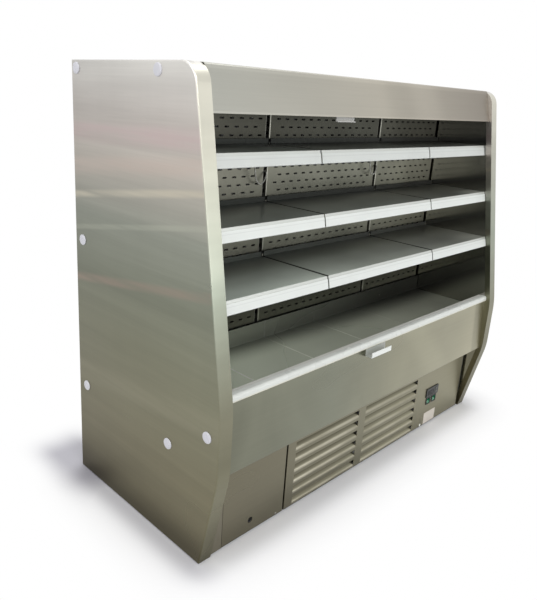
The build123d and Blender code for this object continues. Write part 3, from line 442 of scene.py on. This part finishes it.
def prism(ring, offset):
    """A closed ring of points run along an offset."""
    count = len(ring)
    corners = list(ring) + [p + offset for p in ring]
    faces = [[i, (i + 1) % count, count + (i + 1) % count, count + i] for i in range(count)]
    return corners, faces + [list(range(count))[::-1], list(range(count, 2 * count))]


def skin_through(rings, closed=True):
    """Quads between rings of equal length."""
    count = len(rings[0])
    corners = [p for ring in rings for p in ring]
    faces = []
    for k in range(len(rings) - 1):
        for i in range(count if closed else count - 1):
            j = (i + 1) % count
            faces.append([k * count + i, k * count + j, (k + 1) * count + j, (k + 1) * count + i])
    return corners, faces


def lathe(centre, axis, up, profile, steps=40):
    """A profile of (radius, height) turned about an axis through centre."""
    side = axis.cross(up)
    rings = []
    for i in range(steps + 1):
        angle = 2 * math.pi * i / steps
        out = up * math.cos(angle) + side * math.sin(angle)
        rings.append([centre + out * (r / 1000) + axis * (h / 1000) for r, h in profile])
    return skin_through(rings, closed=False)


def arc(centre, radius, start, end, steps):
    """Points (a, b) along an arc, degrees."""
    turns = [math.radians(start + (end - start) * i / steps) for i in range(steps + 1)]
    return [(centre[0] + radius * math.cos(t), centre[1] + radius * math.sin(t)) for t in turns]


def rounded(x0, x1, z0, z1, radius, steps=4):
    """Front-view rectangle with round corners."""
    points = []
    for x, z, start in ((x1, z1, 0), (x0, z1, 90), (x0, z0, 180), (x1, z0, 270)):
        centre = (x - math.copysign(radius, x - (x0 + x1) / 2), z - math.copysign(radius, z - (z0 + z1) / 2))
        points += arc(centre, radius, start, start + 90, steps)
    return points


def plate(outline, holes, front, thickness):
    """Front-view plate with holes, its face at front, millimetres."""
    curve = bpy.data.curves.new("plate", "CURVE")
    curve.dimensions = "2D"
    curve.fill_mode = "BOTH"
    curve.extrude = thickness / 2
    for loop in [outline, *holes]:
        spline = curve.splines.new("POLY")
        spline.points.add(len(loop) - 1)
        for point, (x, z) in zip(spline.points, loop):
            point.co = (x, z, 0, 1)
        spline.use_cyclic_u = True
    carrier = bpy.data.objects.new("plate", curve)
    mesh = bpy.data.meshes.new_from_object(carrier)
    corners = [place(v.co.x, front + thickness / 2 - v.co.z, v.co.y) for v in mesh.vertices]
    faces = [list(p.vertices) for p in mesh.polygons]
    bpy.data.objects.remove(carrier)
    bpy.data.curves.remove(curve)
    bpy.data.meshes.remove(mesh)
    return corners, faces


# Sheet steel, millimetres.
SHEET = 1.2


def centred(count, pitch):
    """Evenly spaced places about zero."""
    return [(i - (count - 1) / 2) * pitch for i in range(count)]


def back_panel(side, x0, x1, material):
    """Perforated panel with staggered slots and its side edges folded back round a bend."""
    face_y, low, high, bend, fold = 280.0, 520.6, 1192.7, 3.0, 10.0
    rows, row_pitch, column_pitch, side_margin = 27, 24, 38, 24
    slot_half, slot_rise, slot_corner = 8.5, 2.6, 2.59
    middle_x, middle_z = (x0 + x1) / 2, (low + high) / 2
    count = int((x1 - x0 - 2 * side_margin) / column_pitch) + 1
    holes = []
    for i, row in enumerate(centred(rows, row_pitch)):
        for column in centred(count - i % 2, column_pitch):
            x, z = middle_x + column, middle_z + row
            holes.append(rounded(x - slot_half, x + slot_half, z - slot_rise, z + slot_rise, slot_corner, 3))
    face = [(x0 + bend, low), (x1 - bend, low), (x1 - bend, high), (x0 + bend, high)]
    parts = [plate(face, holes, face_y, SHEET)]
    for x, sign in ((x0, 1), (x1, -1)):
        outer = [(x + sign * bend * (1 - math.sin(t)), face_y + bend * (1 - math.cos(t)))
                 for t in (math.radians(15 * k) for k in range(7))]
        inner = [(x + sign * (bend - (bend - SHEET) * math.sin(t)), face_y + bend - (bend - SHEET) * math.cos(t))
                 for t in (math.radians(15 * k) for k in range(6, -1, -1))]
        flange = [(x, face_y + fold), (x + sign * SHEET, face_y + fold)]
        ring = [place(a, b, low) for a, b in (*outer, *flange, *inner)]
        parts.append(prism(ring, place(0, 275.5, high - low)))
    piece(f"perforated_back_{side}", parts, material, stands_for=[f"back_panel_{side}"])


def bolt_caps(material):
    """Domed caps with a turned-down rim over the bolts of both ends."""
    profile = [(16, 0), (16, 1.5), (15.6, 2.4), (14.6, 3.1), (12.5, 3.5), (8, 3.85), (3, 3.98), (0, 4.0)]
    places = [(589, 1278), (209, 1278), (575, 793), (570, 316), (144, 308), (-17, 402)]
    end_face = 750
    parts = []
    for sign in (-1, 1):
        for y, z in places:
            parts.append(lathe(place(sign * end_face, y, z), Vector((sign, 0, 0)), UP, profile))
    piece("domed_bolt_caps", parts, material, stands_for=["end_bolt_caps"])


# The roller's axis and half the cloth's width, millimetres.
ROLLER = (112.009, 1240.0)
CLOTH_HALF = 684


def blind_roll(metal, fabric):
    """Spring roller: flanged tube with its pins, and the cloth wound on it in a spiral."""
    y, z = ROLLER
    profile = [(0, -714.5), (4.4, -714.5), (5, -713.9), (5, -698.6), (15.4, -698.6), (16, -698), (16, -697),
               (15.2, -696), (15.2, 696), (16, 697), (16, 698), (15.4, 698.6), (5, 698.6), (5, 713.9),
               (4.4, 714.5), (0, 714.5)]
    tube = lathe(place(0, y, z), Vector((1, 0, 0)), UP, profile)
    piece("roller_tube", [tube], metal, body="blind_roll", stands_for=["blind_roller"])
    turns, steps, inner, outer = 7, 40, 16.3, 21.9
    rows = []
    for x in (-CLOTH_HALF, -CLOTH_HALF / 2, 0, CLOTH_HALF / 2, CLOTH_HALF):
        row = []
        for i in range(turns * steps + 1):
            share = i / (turns * steps)
            radius = inner + (outer - inner) * share
            angle = 2 * math.pi * turns * share
            row.append(place(x, y - radius * math.cos(angle), z + radius * math.sin(angle)))
        rows.append(row)
    wound = piece("wound_cloth", [skin_through(rows, closed=False)], fabric, body="blind_roll")


def hanging_cloth(fabric):
    """The cloth between the roll and the pull bar, drawn down with the bar."""
    low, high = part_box("blind_cloth")
    inset, steps = 0.0004, 32
    foot = Vector((0, low.y + inset, low.z))
    head = Vector((0, high.y - inset, high.z))
    rows = []
    for i in range(steps + 1):
        share = i / steps
        centre = head.lerp(foot, share)
        swell = 0.00012 * math.sin(math.pi * share)
        rows.append([centre + Vector((x / 1000, swell * math.sin(x / 41), 0))
                     for x in range(-CLOTH_HALF, CLOTH_HALF + 1, 19)])
    cloth = piece("hanging_cloth", [skin_through(rows, closed=False)], fabric, body=None,
                  stands_for=["blind_cloth"])
    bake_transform(cloth)


# Each lead's length, metres, and the route on which the CAD sweeps it, millimetres.
LEADS = {
    "left": (0.1857, [
        (-362, 256, 1081.8), (-362, 256, 1052), (-359, 258.5, 1020), (-350, 261.5, 992), (-332, 262.5, 976),
        (-312, 264, 984), (-299.5, 268, 1002.5), (-292, 276.5, 1014.5), (-292, 290.3, 1014.5)]),
    "right": (0.1807, [
        (222, 256, 1081.8), (222, 256, 1051), (226, 258.5, 1019), (235, 261.5, 993), (253, 262.5, 979),
        (272, 264, 987), (284.5, 268, 1003.5), (292, 277, 1014.5), (292, 290.3, 1014.5)]),
}


def lamp_lead(side, material):
    """White lead that leaves the lead block, hangs in a loop and goes in through the upright."""
    length, route = LEADS[side]
    curve = bpy.data.curves.new(f"lead_{side}", "CURVE")
    curve.dimensions = "3D"
    curve.bevel_depth = 0.002
    curve.bevel_resolution = 5
    curve.resolution_u = 10
    spline = curve.splines.new("NURBS")
    spline.points.add(len(route) - 1)
    for point, rear_corner_shadow in zip(spline.points, route):
        point.co = (*place(*rear_corner_shadow), 1)
    spline.order_u = 3
    spline.use_endpoint_u = True
    curve.materials.append(material)
    made = bpy.data.objects.new(f"lead_{side}", curve)
    bpy.context.scene.collection.objects.link(made)
    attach(made, "root")
    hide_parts(f"lamp_lead_{side}")


# The louvre panel's banks, slat levels and face, millimetres.
LOUVRE_BANKS = ((-367.0, -45.0), (-5.0, 332.0))
LOUVRE_PITCH = 38.6
LOUVRE_LEVELS = [15.0 + LOUVRE_PITCH * i for i in range(6)]
SLAT_FOOT, SLAT_RISE = 5.0, 22.0
PLINTH_FACE = 3.0


def slat(x0, x1, level, push=21.0, radius=9.2):
    """Louvre slat: up from the panel's face, round a soft bend, and leaning in to its free edge."""
    lean = math.atan2(push, SLAT_RISE)
    run = radius * math.tan(lean / 2)
    front = [(PLINTH_FACE, level - SLAT_FOOT)]
    normals = [(1.0, 0.0)]
    for k in range(9):
        turn = lean * k / 8
        front.append((PLINTH_FACE + radius * (1 - math.cos(turn)), level - run + radius * math.sin(turn)))
        normals.append((math.cos(turn), -math.sin(turn)))
    front.append((PLINTH_FACE + push, level + SLAT_RISE))
    normals.append(normals[-1])
    back = [(y + ny * SHEET, z + nz * SHEET) for (y, z), (ny, nz) in zip(front, normals)]
    return prism([place(x0, y, z) for y, z in front + back[::-1]], place(x1 - x0, 275.5, 0))


def louvre_panel(material):
    """Wide plinth panel: folded pan with two banks of pressed louvres and the controls' holes."""
    x0, x1, z0, z1 = -403.0, 690.0, 5.0, 283.7
    holes = [rounded(a, b, level - SLAT_FOOT, level + SLAT_RISE, 0.8, 2)
             for a, b in LOUVRE_BANKS for level in LOUVRE_LEVELS]
    controller, rockers, rocker_half = (420.2, 491.8, 130.2, 159.8), (434, 476), 14.3
    holes.append(rounded(*controller, 0.6, 2))
    holes += [rounded(x - rocker_half, x + rocker_half, 95.5, 122.5, 0.6, 2) for x in rockers]
    bend, fold = 2.0, 10
    face = [(x0 + bend, z0 + bend), (x1 - bend, z0 + bend), (x1 - bend, z1 - bend), (x0 + bend, z1 - bend)]
    parts = [plate(face, holes, PLINTH_FACE, SHEET)]
    rings = []
    steps = [(bend * (1 - math.sin(t)), bend * (1 - math.cos(t))) for t in (math.radians(18 * k) for k in range(6))]
    for inset, depth in (*steps, (0, fold), (SHEET, fold), (SHEET, SHEET)):
        y = PLINTH_FACE + depth
        rings.append([place(a, y, b) for a, b in ((x0 + inset, z0 + inset), (x1 - inset, z0 + inset),
                                                  (x1 - inset, z1 - inset), (x0 + inset, z1 - inset))])
    parts.append(skin_through(rings))
    parts += [slat(a, b, level) for a, b in LOUVRE_BANKS for level in LOUVRE_LEVELS]
    piece("pressed_louvre_panel", parts, material, stands_for=["louvre_panel"])


def low_plate(name, outline, front, thickness, material):
    """Thin plate with a turned edge, on what carries it."""
    middle = (sum(x for x, _ in outline) / len(outline), sum(z for _, z in outline) / len(outline))
    rings = []
    for inset, depth in ((0, thickness), (0, thickness * 0.35), (0.12, thickness * 0.1), (0.35, 0)):
        ring = []
        for x, z in outline:
            length = math.hypot(x - middle[0], z - middle[1])
            share = 1 - inset / length
            ring.append(place(middle[0] + (x - middle[0]) * share, front + depth,
                              middle[1] + (z - middle[1]) * share))
        rings.append(ring)
    corners, faces = skin_through(rings)
    faces.append(list(range(len(corners) - len(outline), len(corners))))
    return piece(name, [(corners, faces)], material)


def button(name, x, y, z, profile, material):
    """Small turned fastener or plug facing forwards."""
    return piece(name, [lathe(place(x, y, z), FORWARDS, UP, profile, 24)], material)


def screw(name, x, y, z, material):
    """Pan-head screw with a sunk middle."""
    profile = [(3.6, 0), (3.6, 0.6), (3.1, 1.2), (2.0, 1.6), (0.9, 1.7), (0.7, 1.0), (0, 0.9)]
    return button(name, x, y, z, profile, material)


# ------------------------------------------------------------------ finishes

# These steel tones carry painted reflections: the end panels and their folded flanges run from a dark foot to a
# light top, and the fascia, front and plinth change from end to end.
END_REFLECTION_TONES = tones(
    (0.00, 100, 94, 72), (0.18, 120, 115, 93), (0.42, 130, 130, 111), (0.55, 128, 131, 116),
    (0.68, 144, 147, 136), (0.80, 186, 180, 171), (0.90, 194, 188, 182), (1.00, 210, 208, 203),
)
FLANGE_REFLECTION_TONES = tones(
    (0.00, 104, 100, 76), (0.35, 136, 134, 115), (0.60, 158, 164, 150), (0.85, 184, 183, 170), (1.00, 212, 209, 196),
)
FASCIA_TONES = tones((0.0, 168, 168, 160), (0.5, 176, 171, 159), (1.0, 140, 133, 123))
PANEL_TONES = tones(
    (0.0, 124, 125, 110), (0.30, 137, 139, 124), (0.55, 149, 147, 128), (0.80, 160, 157, 137), (1.0, 174, 170, 148),
)
PLINTH_TONES = tones((0.0, 119, 114, 97), (0.5, 132, 129, 110), (1.0, 149, 145, 123))


# Where the shelves and pans meet and how far apart the rows are, metres.
SHELF_JOINT = 0.292
PAN_PITCH = 0.257
LOWEST_SHELF = 0.747
SHELF_PITCH = 0.175


def end_touches(look, tone):
    """Painted shade darker towards the rear, painted pink and cream reflections leaning across the panel, and a
    painted highlight on the paler folded front edge.
    """
    # Painted shade towards the rear.
    tone = look.shade(tone, look.mapped(look.part(1), (0.34, -0.33), (0.0, 1.0)), 0.86, 1.04)
    tone = look.vary(tone, look.noise((0.5, 0.9, 17), detail=4, distortion=0.5), 0.90, 1.08)
    tone = look.vary(tone, look.noise((7, 7, 0.8), detail=3), 0.975, 1.02)
    # Painted reflections in leaning pink and cream bands.
    reflection_wisps = look.noise((0.5, 2.2, 40), detail=3)
    for height, slope, half, soft, share, colour in (
        (1.121, 0.034, 0.010, 0.030, 0.45, (196, 170, 172)), (1.044, 0.101, 0.006, 0.030, 0.45, (196, 178, 168)),
        (0.975, 0.144, 0.003, 0.012, 0.55, (206, 198, 178)), (0.886, 0.174, 0.003, 0.008, 0.30, (186, 188, 172)),
        (0.724, 0.151, 0.004, 0.016, 0.50, (160, 138, 126)), (0.400, 0.100, 0.010, 0.040, 0.30, (152, 148, 128)),
    ):
        slant = look.lean(2, 1, slope)
        streak = look.band(slant, height, half, soft)
        sheen = look.times(streak, look.mapped(reflection_wisps, (0.35, 0.65), (0.3 * share, share)))
        tone = look.mix("MIX", sheen, tone, linear(*colour))
    # Painted highlight on the front-facing folded flange.
    flange = look.ramp(look.mapped(look.part(2), (0.0, 1.3), (0.0, 1.0)), FLANGE_REFLECTION_TONES)
    flange = look.vary(flange, look.noise((2, 2, 14), detail=3), 0.92, 1.05)
    return look.mix("MIX", look.facing(1, -0.35, -0.75), tone, flange)


def fascia_touches(look, tone):
    """Painted highlights along the hem and the top bend, and painted leaning reflections at the right."""
    # Painted highlights on the hem and the top bend.
    tone = look.shade(tone, look.band(2, 1.190, 0.002, 0.002), 1.0, 1.14)
    tone = look.shade(tone, look.band(2, 1.294, 0.004, 0.006), 1.0, 1.12)
    lean = look.lean(0, 2, 0.35)
    tone = look.shade(tone, look.band(lean, 0.70, 0.02, 0.10), 1.0, 1.10)
    return look.shade(tone, look.band(lean, 0.52, 0.02, 0.09), 1.0, 0.93)


def front_touches(look, tone):
    """Broad reflections across the panel, a dull upright one near the right end, and a paler top."""
    lean = look.lean(0, 2, 0.9)
    clouds = look.pattern("ShaderNodeTexNoise", (1.0, 1.0, 1.0), Scale=2.6, Detail=3.0, Distortion=0.8)
    tone = look.vary(tone, clouds.outputs["Fac"], 0.90, 1.10)
    tone = look.shade(tone, look.band(lean, 0.62, 0.02, 0.10), 1.0, 1.10)
    tone = look.shade(tone, look.band(0, 0.655, 0.012, 0.020), 1.0, 0.80)
    return look.shade(tone, look.between(look.part(2), 0.44, 0.486), 1.0, 1.07)


def shelf_touches(look, tone):
    """Soft patches, painted shade on the upper rows and the rear, a painted paler light at the front left, a painted
    highlight at the right front, painted shade in the gaps between the shelves, and a painted highlight on the
    front-facing rolled lip.
    """
    tone = look.vary(tone, look.noise((4.5, 6.0, 1.0), detail=2), 0.90, 1.12)
    # Painted shade on the upper rows and towards the rear.
    lowest = look.between(look.part(2), 0.84, 0.80)
    tone = look.shade(tone, lowest, 0.50, 1.0)
    tone = look.shade(tone, look.between(look.part(1), -0.05, -0.15), 0.36, 1.0)
    # Painted light on the front left.
    towards_left = look.mapped(look.part(0), (-0.6, 0.5), (1.0, 0.1))
    painted_front_light = look.times(look.between(look.part(1), -0.10, -0.23), towards_left)
    tone = look.shade(tone, look.times(painted_front_light, lowest), 1.0, 1.9)
    # Painted highlight at the right front.
    shine = look.times(look.band(0, 0.655, 0.01, 0.12), look.band(1, -0.225, 0.01, 0.06))
    tone = look.mix("MIX", look.times(shine, 0.5), tone, linear(198, 200, 188))
    # Painted shade in the gaps between the shelves.
    shelf_gap_shade = look.either(look.band(0, SHELF_JOINT, 0.0058, 0.0010), look.band(0, -SHELF_JOINT, 0.0058, 0.0010))
    tone = look.mix("MULTIPLY", shelf_gap_shade, tone, (0.10, 0.10, 0.10))
    # Painted highlight on the front-facing lip.
    lip = look.times(look.facing(1, -0.45, -0.75), look.between(look.part(1), -0.17, -0.19))
    return look.mix("MIX", lip, tone, linear(196, 199, 194))


def deck_touches(look, tone):
    """Pale seams between the pans, painted shade at the rear and on the front-facing faces there, a painted paler
    light at the front left, and a few crumbs.
    """
    seam = look.band(0, 0.0, 0.0022, 0.0012, period=PAN_PITCH)
    tone = look.mix("MIX", look.times(seam, 0.45), tone, linear(188, 190, 180))
    # Painted shade towards the rear.
    slant = look.lean(1, 0, 0.08)
    tone = look.shade(tone, look.between(slant, 0.04, -0.10), 0.08, 1.0)
    # Painted light on the front left.
    towards_left = look.mapped(look.part(0), (-0.2, 0.6), (1.0, 0.0))
    painted_front_light = look.times(look.between(slant, -0.03, -0.15), towards_left)
    tone = look.shade(tone, painted_front_light, 1.0, 2.9)
    # Painted shade on the front-facing faces at the rear.
    rise = look.times(look.facing(1, -0.45, -0.75), look.between(look.part(1), 0.0, 0.1))
    tone = look.shade(tone, rise, 1.0, 0.25)
    crumbs = look.specks(34, 0.10, 0.0022)
    return look.mix("MIX", look.times(crumbs, 0.7), tone, linear(176, 176, 166))


def back_touches(look, tone):
    """Painted shade in the top and bottom bays, painted light low in the middle bay, and painted highlights on the
    paler bends beside the uprights.
    """
    # Painted shade in the bottom and top bays, and painted light low in the middle bay.
    tone = look.shade(tone, look.between(look.part(2), 0.70, 0.76), 0.45, 1.0)
    tone = look.shade(tone, look.between(look.part(2), 0.76, 0.905), 1.15, 1.0)
    tone = look.shade(tone, look.between(look.part(2), 1.09, 1.11), 1.0, 0.34)
    tone = look.vary(tone, look.noise((5, 5, 7), detail=3), 0.86, 1.10)
    # Painted highlights on the bends.
    bends = look.either(look.band(0, SHELF_JOINT, 0.0095, 0.002), look.band(0, -SHELF_JOINT, 0.0095, 0.002))
    return look.mix("MIX", look.times(bends, 0.55), tone, linear(176, 176, 166))


def strip_touches(look, tone):
    """The strip's rib lines, drawn as painted highlights and dark lines, and painted shade on the top row."""
    # Painted highlights and dark lines along the ribs.
    for drop, level in ((0.0105, 1.04), (0.0165, 0.90), (0.0335, 1.05), (0.0360, 0.86)):
        line = look.band(2, LOWEST_SHELF - drop, 0.0006, 0.0008, period=SHELF_PITCH)
        tone = look.shade(tone, line, 1.0, level)
    # Painted shade on the top row.
    return look.shade(tone, look.between(look.part(2), 1.0, 1.03), 1.0, 0.84)


def bumper_touches(look, tone):
    """Cream lower edge and a few rubbed places."""
    edge = look.times(look.band(2, 0.489, 0.003, 0.004), 0.6)
    tone = look.mix("MIX", edge, tone, linear(204, 200, 178))
    rubbed = look.math("GREATER_THAN", look.noise((26, 160, 160), detail=3), 0.68)
    return look.mix("MULTIPLY", look.times(rubbed, 0.35), tone, (0.86, 0.86, 0.82))


def zinc_touches(look, tone):
    """Fine zinc spangle."""
    return look.vary(tone, look.cells((120, 120, 120)), 0.96, 1.03)


def frame_touches(look, tone):
    """Zinc spangle, and brushed steel on the post that closes the plinth's left end."""
    left, front = look.between(look.part(0), -0.6610, -0.6632), look.between(look.part(1), -0.2250, -0.2262)
    return look.mix("MIX", look.times(left, front), zinc_touches(look, tone), linear(124, 119, 104))


def catch_touches(look, tone):
    """Painted shade on the back plate behind the white lip."""
    return look.mix("MULTIPLY", look.between(look.part(1), -0.3375, -0.3345), tone, (0.52, 0.52, 0.50))


def bottom_edge_shade(look, tone):
    """Painted shade: a dark line along the plinth's bottom edge."""
    return look.mix("MULTIPLY", look.band(2, 0.004, 0.003, 0.002), tone, (0.35, 0.34, 0.32))


def louvre_touches(look, tone):
    """Painted highlights on the bends at the feet of the slats, stronger to the left, and painted shade where the
    slats lean in.
    """
    banks = look.either(look.band(0, -0.206, 0.158, 0.008), look.band(0, 0.1635, 0.165, 0.008))
    bend = look.times(look.band(2, 0.0135, 0.0022, 0.0050, period=LOUVRE_PITCH / 1000), banks)
    bend = look.times(bend, look.between(look.part(2), 0.226, 0.220))
    # Painted highlight on the bends, stronger to the left.
    bend_highlight = look.mapped(look.noise((5, 1, 9), detail=2), (0.35, 0.6), (0.20, 0.65))
    bend_highlight = look.times(bend_highlight, look.mapped(look.part(0), (-0.35, 0.33), (1.0, 0.55)))
    tone = look.mix("MIX", look.times(bend, bend_highlight), tone, linear(196, 192, 174))
    # Painted shade along the bottom edge.
    tone = bottom_edge_shade(look, tone)
    # Painted shade where the slats lean in.
    return look.shade(tone, look.between(look.part(1), -0.2715, -0.2600), 1.0, 0.62)


def plinth_touches(look, tone):
    """Painted shade along the bottom edge and in the seam beside the post."""
    tone = bottom_edge_shade(look, tone)
    return look.mix("MULTIPLY", look.band(0, -0.6631, 0.0008, 0.0006), tone, (0.18, 0.18, 0.17))


def wall_touches(look, tone):
    """Painted shade high up."""
    return look.shade(tone, look.between(look.part(2), 0.35, 1.2), 1.0, 0.70)


def fin_touches(look, tone):
    """Painted shade in the thin gaps between close fins."""
    gaps = look.band(0, 0.0, 0.0004, 0.0003, period=0.0022)
    return look.mix("MULTIPLY", look.times(gaps, 0.6), tone, (0.30, 0.30, 0.31))


def weave_touches(look, tone):
    """Fine plain weave with a metallised yarn."""
    warp = look.pattern("ShaderNodeTexWave", (1, 1, 1), Scale=260.0, bands_direction="X")
    weft = look.pattern("ShaderNodeTexWave", (1, 1, 1), Scale=200.0, bands_direction="Z")
    weave = look.times(warp.outputs["Fac"], weft.outputs["Fac"])
    look.bump(weave, 0.0002, 0.5)
    return look.vary(tone, weave, 0.82, 1.06)


def copper_touches(look, tone):
    """Tarnish in soft patches."""
    tarnish = look.times(look.noise((30, 30, 30), detail=3), 0.5)
    return look.mix("MIX", tarnish, tone, linear(140, 84, 62))


# Grain along the cabinet, and tones that run from its left end to its right, which carry painted reflections.
LENGTHWISE = {"along": "X", "by": 0, "span": (-0.7, 0.7)}

steel_end = brushed("steel_end", END_REFLECTION_TONES, "Y", clouds=0.03, touches=end_touches)
steel_fascia = brushed("steel_fascia", FASCIA_TONES, **LENGTHWISE, clouds=0.04, touches=fascia_touches)
steel_front = brushed("steel_front", PANEL_TONES, **LENGTHWISE, touches=front_touches)
steel_plinth = brushed("steel_plinth", PLINTH_TONES, **LENGTHWISE, touches=plinth_touches)
steel_louvre = brushed("steel_louvre", PLINTH_TONES, **LENGTHWISE, touches=louvre_touches)
steel_wall = brushed("steel_wall", tones((0.0, 184, 183, 175), (1.0, 170, 168, 164)), "Z",
                     roughness=(0.07, 0.14), grit=0.1, touches=wall_touches)
steel_back = brushed("steel_back", tones((0.0, 114, 113, 103), (0.6, 128, 129, 117), (1.0, 174, 174, 158)),
                     **LENGTHWISE, grit=0.6, touches=back_touches)
steel_shelf = brushed("steel_shelf", tones((0.0, 152, 160, 152), (1.0, 150, 152, 144)), **LENGTHWISE,
                      roughness=(0.26, 0.34), clouds=0.14, grit=0.15, touches=shelf_touches,
                      metallic=0.40, Specular_IOR_Level=0.2)
steel_deck = brushed("steel_deck", tones((0.0, 142, 147, 135), (1.0, 168, 171, 157)), **LENGTHWISE,
                     roughness=(0.24, 0.34), clouds=0.14, grit=0.15, touches=deck_touches,
                     metallic=0.40, Specular_IOR_Level=0.2)
rear_steel = satin("rear_steel", linear(158, 160, 160), (0.35, 0.55), metallic=0.8, touches=zinc_touches)
foam_liner = satin("foam_liner", linear(206, 206, 200), (0.35, 0.5))
cap_plastic = satin("cap_plastic", linear(206, 206, 212), (0.3, 0.42))
white_plastic = satin("white_plastic", linear(226, 229, 225), (0.25, 0.38))
bumper_plastic = satin("bumper_plastic", linear(212, 215, 210), (0.22, 0.36), touches=bumper_touches)
ticket_plastic = satin("ticket_plastic", linear(215, 219, 215), (0.34, 0.46), touches=strip_touches)
handle_plastic = satin("handle_plastic", linear(182, 182, 178), (0.3, 0.45))
upright_paint = satin("upright_paint", linear(48, 48, 46), (0.4, 0.55), metallic=0.3)
bracket_steel = satin("bracket_steel", linear(96, 97, 93), (0.32, 0.5), metallic=0.7, touches=zinc_touches)
lamp_plastic = satin("lamp_plastic", linear(220, 222, 222), (0.3, 0.4))
lead_rubber = satin("lead_rubber", linear(222, 222, 214), (0.4, 0.55))
dark_plastic = satin("dark_plastic", linear(22, 24, 21), (0.32, 0.48))
display_glass = satin("display_glass", linear(13, 14, 13), (0.22, 0.30), Specular_IOR_Level=0.2)
catch_plastic = satin("catch_plastic", linear(226, 229, 225), (0.25, 0.38), touches=catch_touches)
key_plastic = satin("key_plastic", linear(88, 91, 84), (0.4, 0.55))
green_lens = satin("green_lens", linear(18, 118, 76), (0.10, 0.18), Coat_Weight=0.5)
label_plate = satin("label_plate", linear(208, 201, 190), (0.3, 0.45))
zinc = satin("zinc", linear(150, 152, 150), (0.35, 0.6), metallic=0.85, touches=zinc_touches)
frame_zinc = satin("frame_zinc", linear(150, 152, 150), (0.30, 0.5), metallic=0.9, touches=frame_touches)
screw_steel = satin("screw_steel", linear(158, 156, 148), (0.25, 0.4), metallic=1.0)
foot_rubber = satin("foot_rubber", linear(36, 36, 36), (0.6, 0.75))
compressor_paint = satin("compressor_paint", linear(24, 24, 25), (0.16, 0.28), Coat_Weight=0.4)
fin_aluminium = satin("fin_aluminium", linear(172, 174, 174), (0.3, 0.45), metallic=1.0, touches=fin_touches)
grille_aluminium = brushed("grille_aluminium", tones((0.0, 150, 150, 146), (1.0, 158, 158, 154)), "X")
fan_plastic = satin("fan_plastic", linear(40, 40, 41), (0.35, 0.5))
copper = satin("copper", linear(188, 120, 86), (0.22, 0.4), metallic=1.0, touches=copper_touches)
blind_fabric = satin("blind_fabric", linear(172, 174, 177), (0.5, 0.65), metallic=0.35, touches=weave_touches)
blind_aluminium = brushed("blind_aluminium", tones((0.0, 150, 150, 147), (1.0, 156, 156, 152)), "X")

SHELVES = [f"shelf_{row}_{side}" for row in ("bottom", "middle", "top") for side in ("left", "middle", "right")]

dress(steel_end, "end_skin_left", "end_skin_right")
dress(steel_fascia, "canopy_cover")
dress(steel_front, "front_panel")
dress(steel_plinth, "access_panel")
dress(steel_wall, "end_liner_left", "end_liner_right")
dress(foam_liner, "canopy_liner", "insulated_well")
dress(rear_steel, "insulated_back")
dress(fin_aluminium, "condenser_coil", "evaporator_coil")
dress(grille_aluminium, "air_outlet_grille")
dress(blind_aluminium, "blind_bar")
dress(handle_plastic, "blind_handle")
dress(catch_plastic, "blind_catch")
dress(bumper_plastic, "bumper_rail")
dress(ticket_plastic, "ticket_strips")
dress(upright_paint, "slotted_uprights")
dress(bracket_steel, "shelf_brackets")
dress(steel_shelf, *SHELVES)
dress(steel_deck, "return_air_grille", *[f"deck_pan_{i}" for i in range(1, 7)])
dress(lamp_plastic, "shelf_lamps")
dress(dark_plastic, "controller", "rocker_housings")
dress(key_plastic, "controller_key_up", "controller_key_down")
dress(green_lens, "lamp_rocker", "fan_rocker")
dress(frame_zinc, "base_frame")
dress(zinc, "evaporator_fan_plate")
dress(foot_rubber, "levelling_feet")
dress(compressor_paint, "compressor")
dress(fan_plastic, "condenser_fan", "evaporator_fan_left", "evaporator_fan_right")
dress(copper, "refrigerant_pipes")

# ------------------------------------------------------------------ scene

add_camera()
for side in LEADS:
    lamp_lead(side, lead_rubber)
blind_roll(blind_aluminium, blind_fabric)
hanging_cloth(blind_fabric)
back_panel("left", -696.0, -299.0, steel_back)
back_panel("middle", -285.0, 285.0, steel_back)
back_panel("right", 299.0, 696.0, steel_back)
bolt_caps(cap_plastic)
louvre_panel(steel_louvre)
low_plate("display_window", rounded(420.4, 463.6, 135.9, 154.1, 1.2), -0.25, 0.5, display_glass)
low_plate("bare_label_plate", rounded(420, 504, 8, 56, 2.0), PLINTH_FACE - 0.4, 0.4, label_plate)
plug_profile = [(5.5, 0), (5.5, 0.9), (4.6, 1.7), (2.2, 2.1), (0, 2.2)]
button("plinth_plug", 396, PLINTH_FACE, 12.5, plug_profile, white_plastic)
screw("access_screw", -441, PLINTH_FACE, 12, screw_steel)

add_world(light=0.50)
add_floor((0.84, 0.84, 0.86), 0.16)
add_lamp("lamp_front", (-2.2, -3.6, 3.4), (0, 0, 0.6), (3.0, 2.0), 85)
add_lamp("lamp_low", (0.9, -4.2, 1.2), (0, 0, 0.9), (3.0, 1.6), 30)
add_lamp("lamp_left", (-4.0, 0.4, 3.0), (0, 0, 0.6), (2.5, 2.5), 40)
add_lamp("lamp_top", (0.2, 0.2, 4.2), (0, 0, 0.6), (3.5, 3.0), 50)

bpy.context.scene.view_settings.view_transform = "Standard"
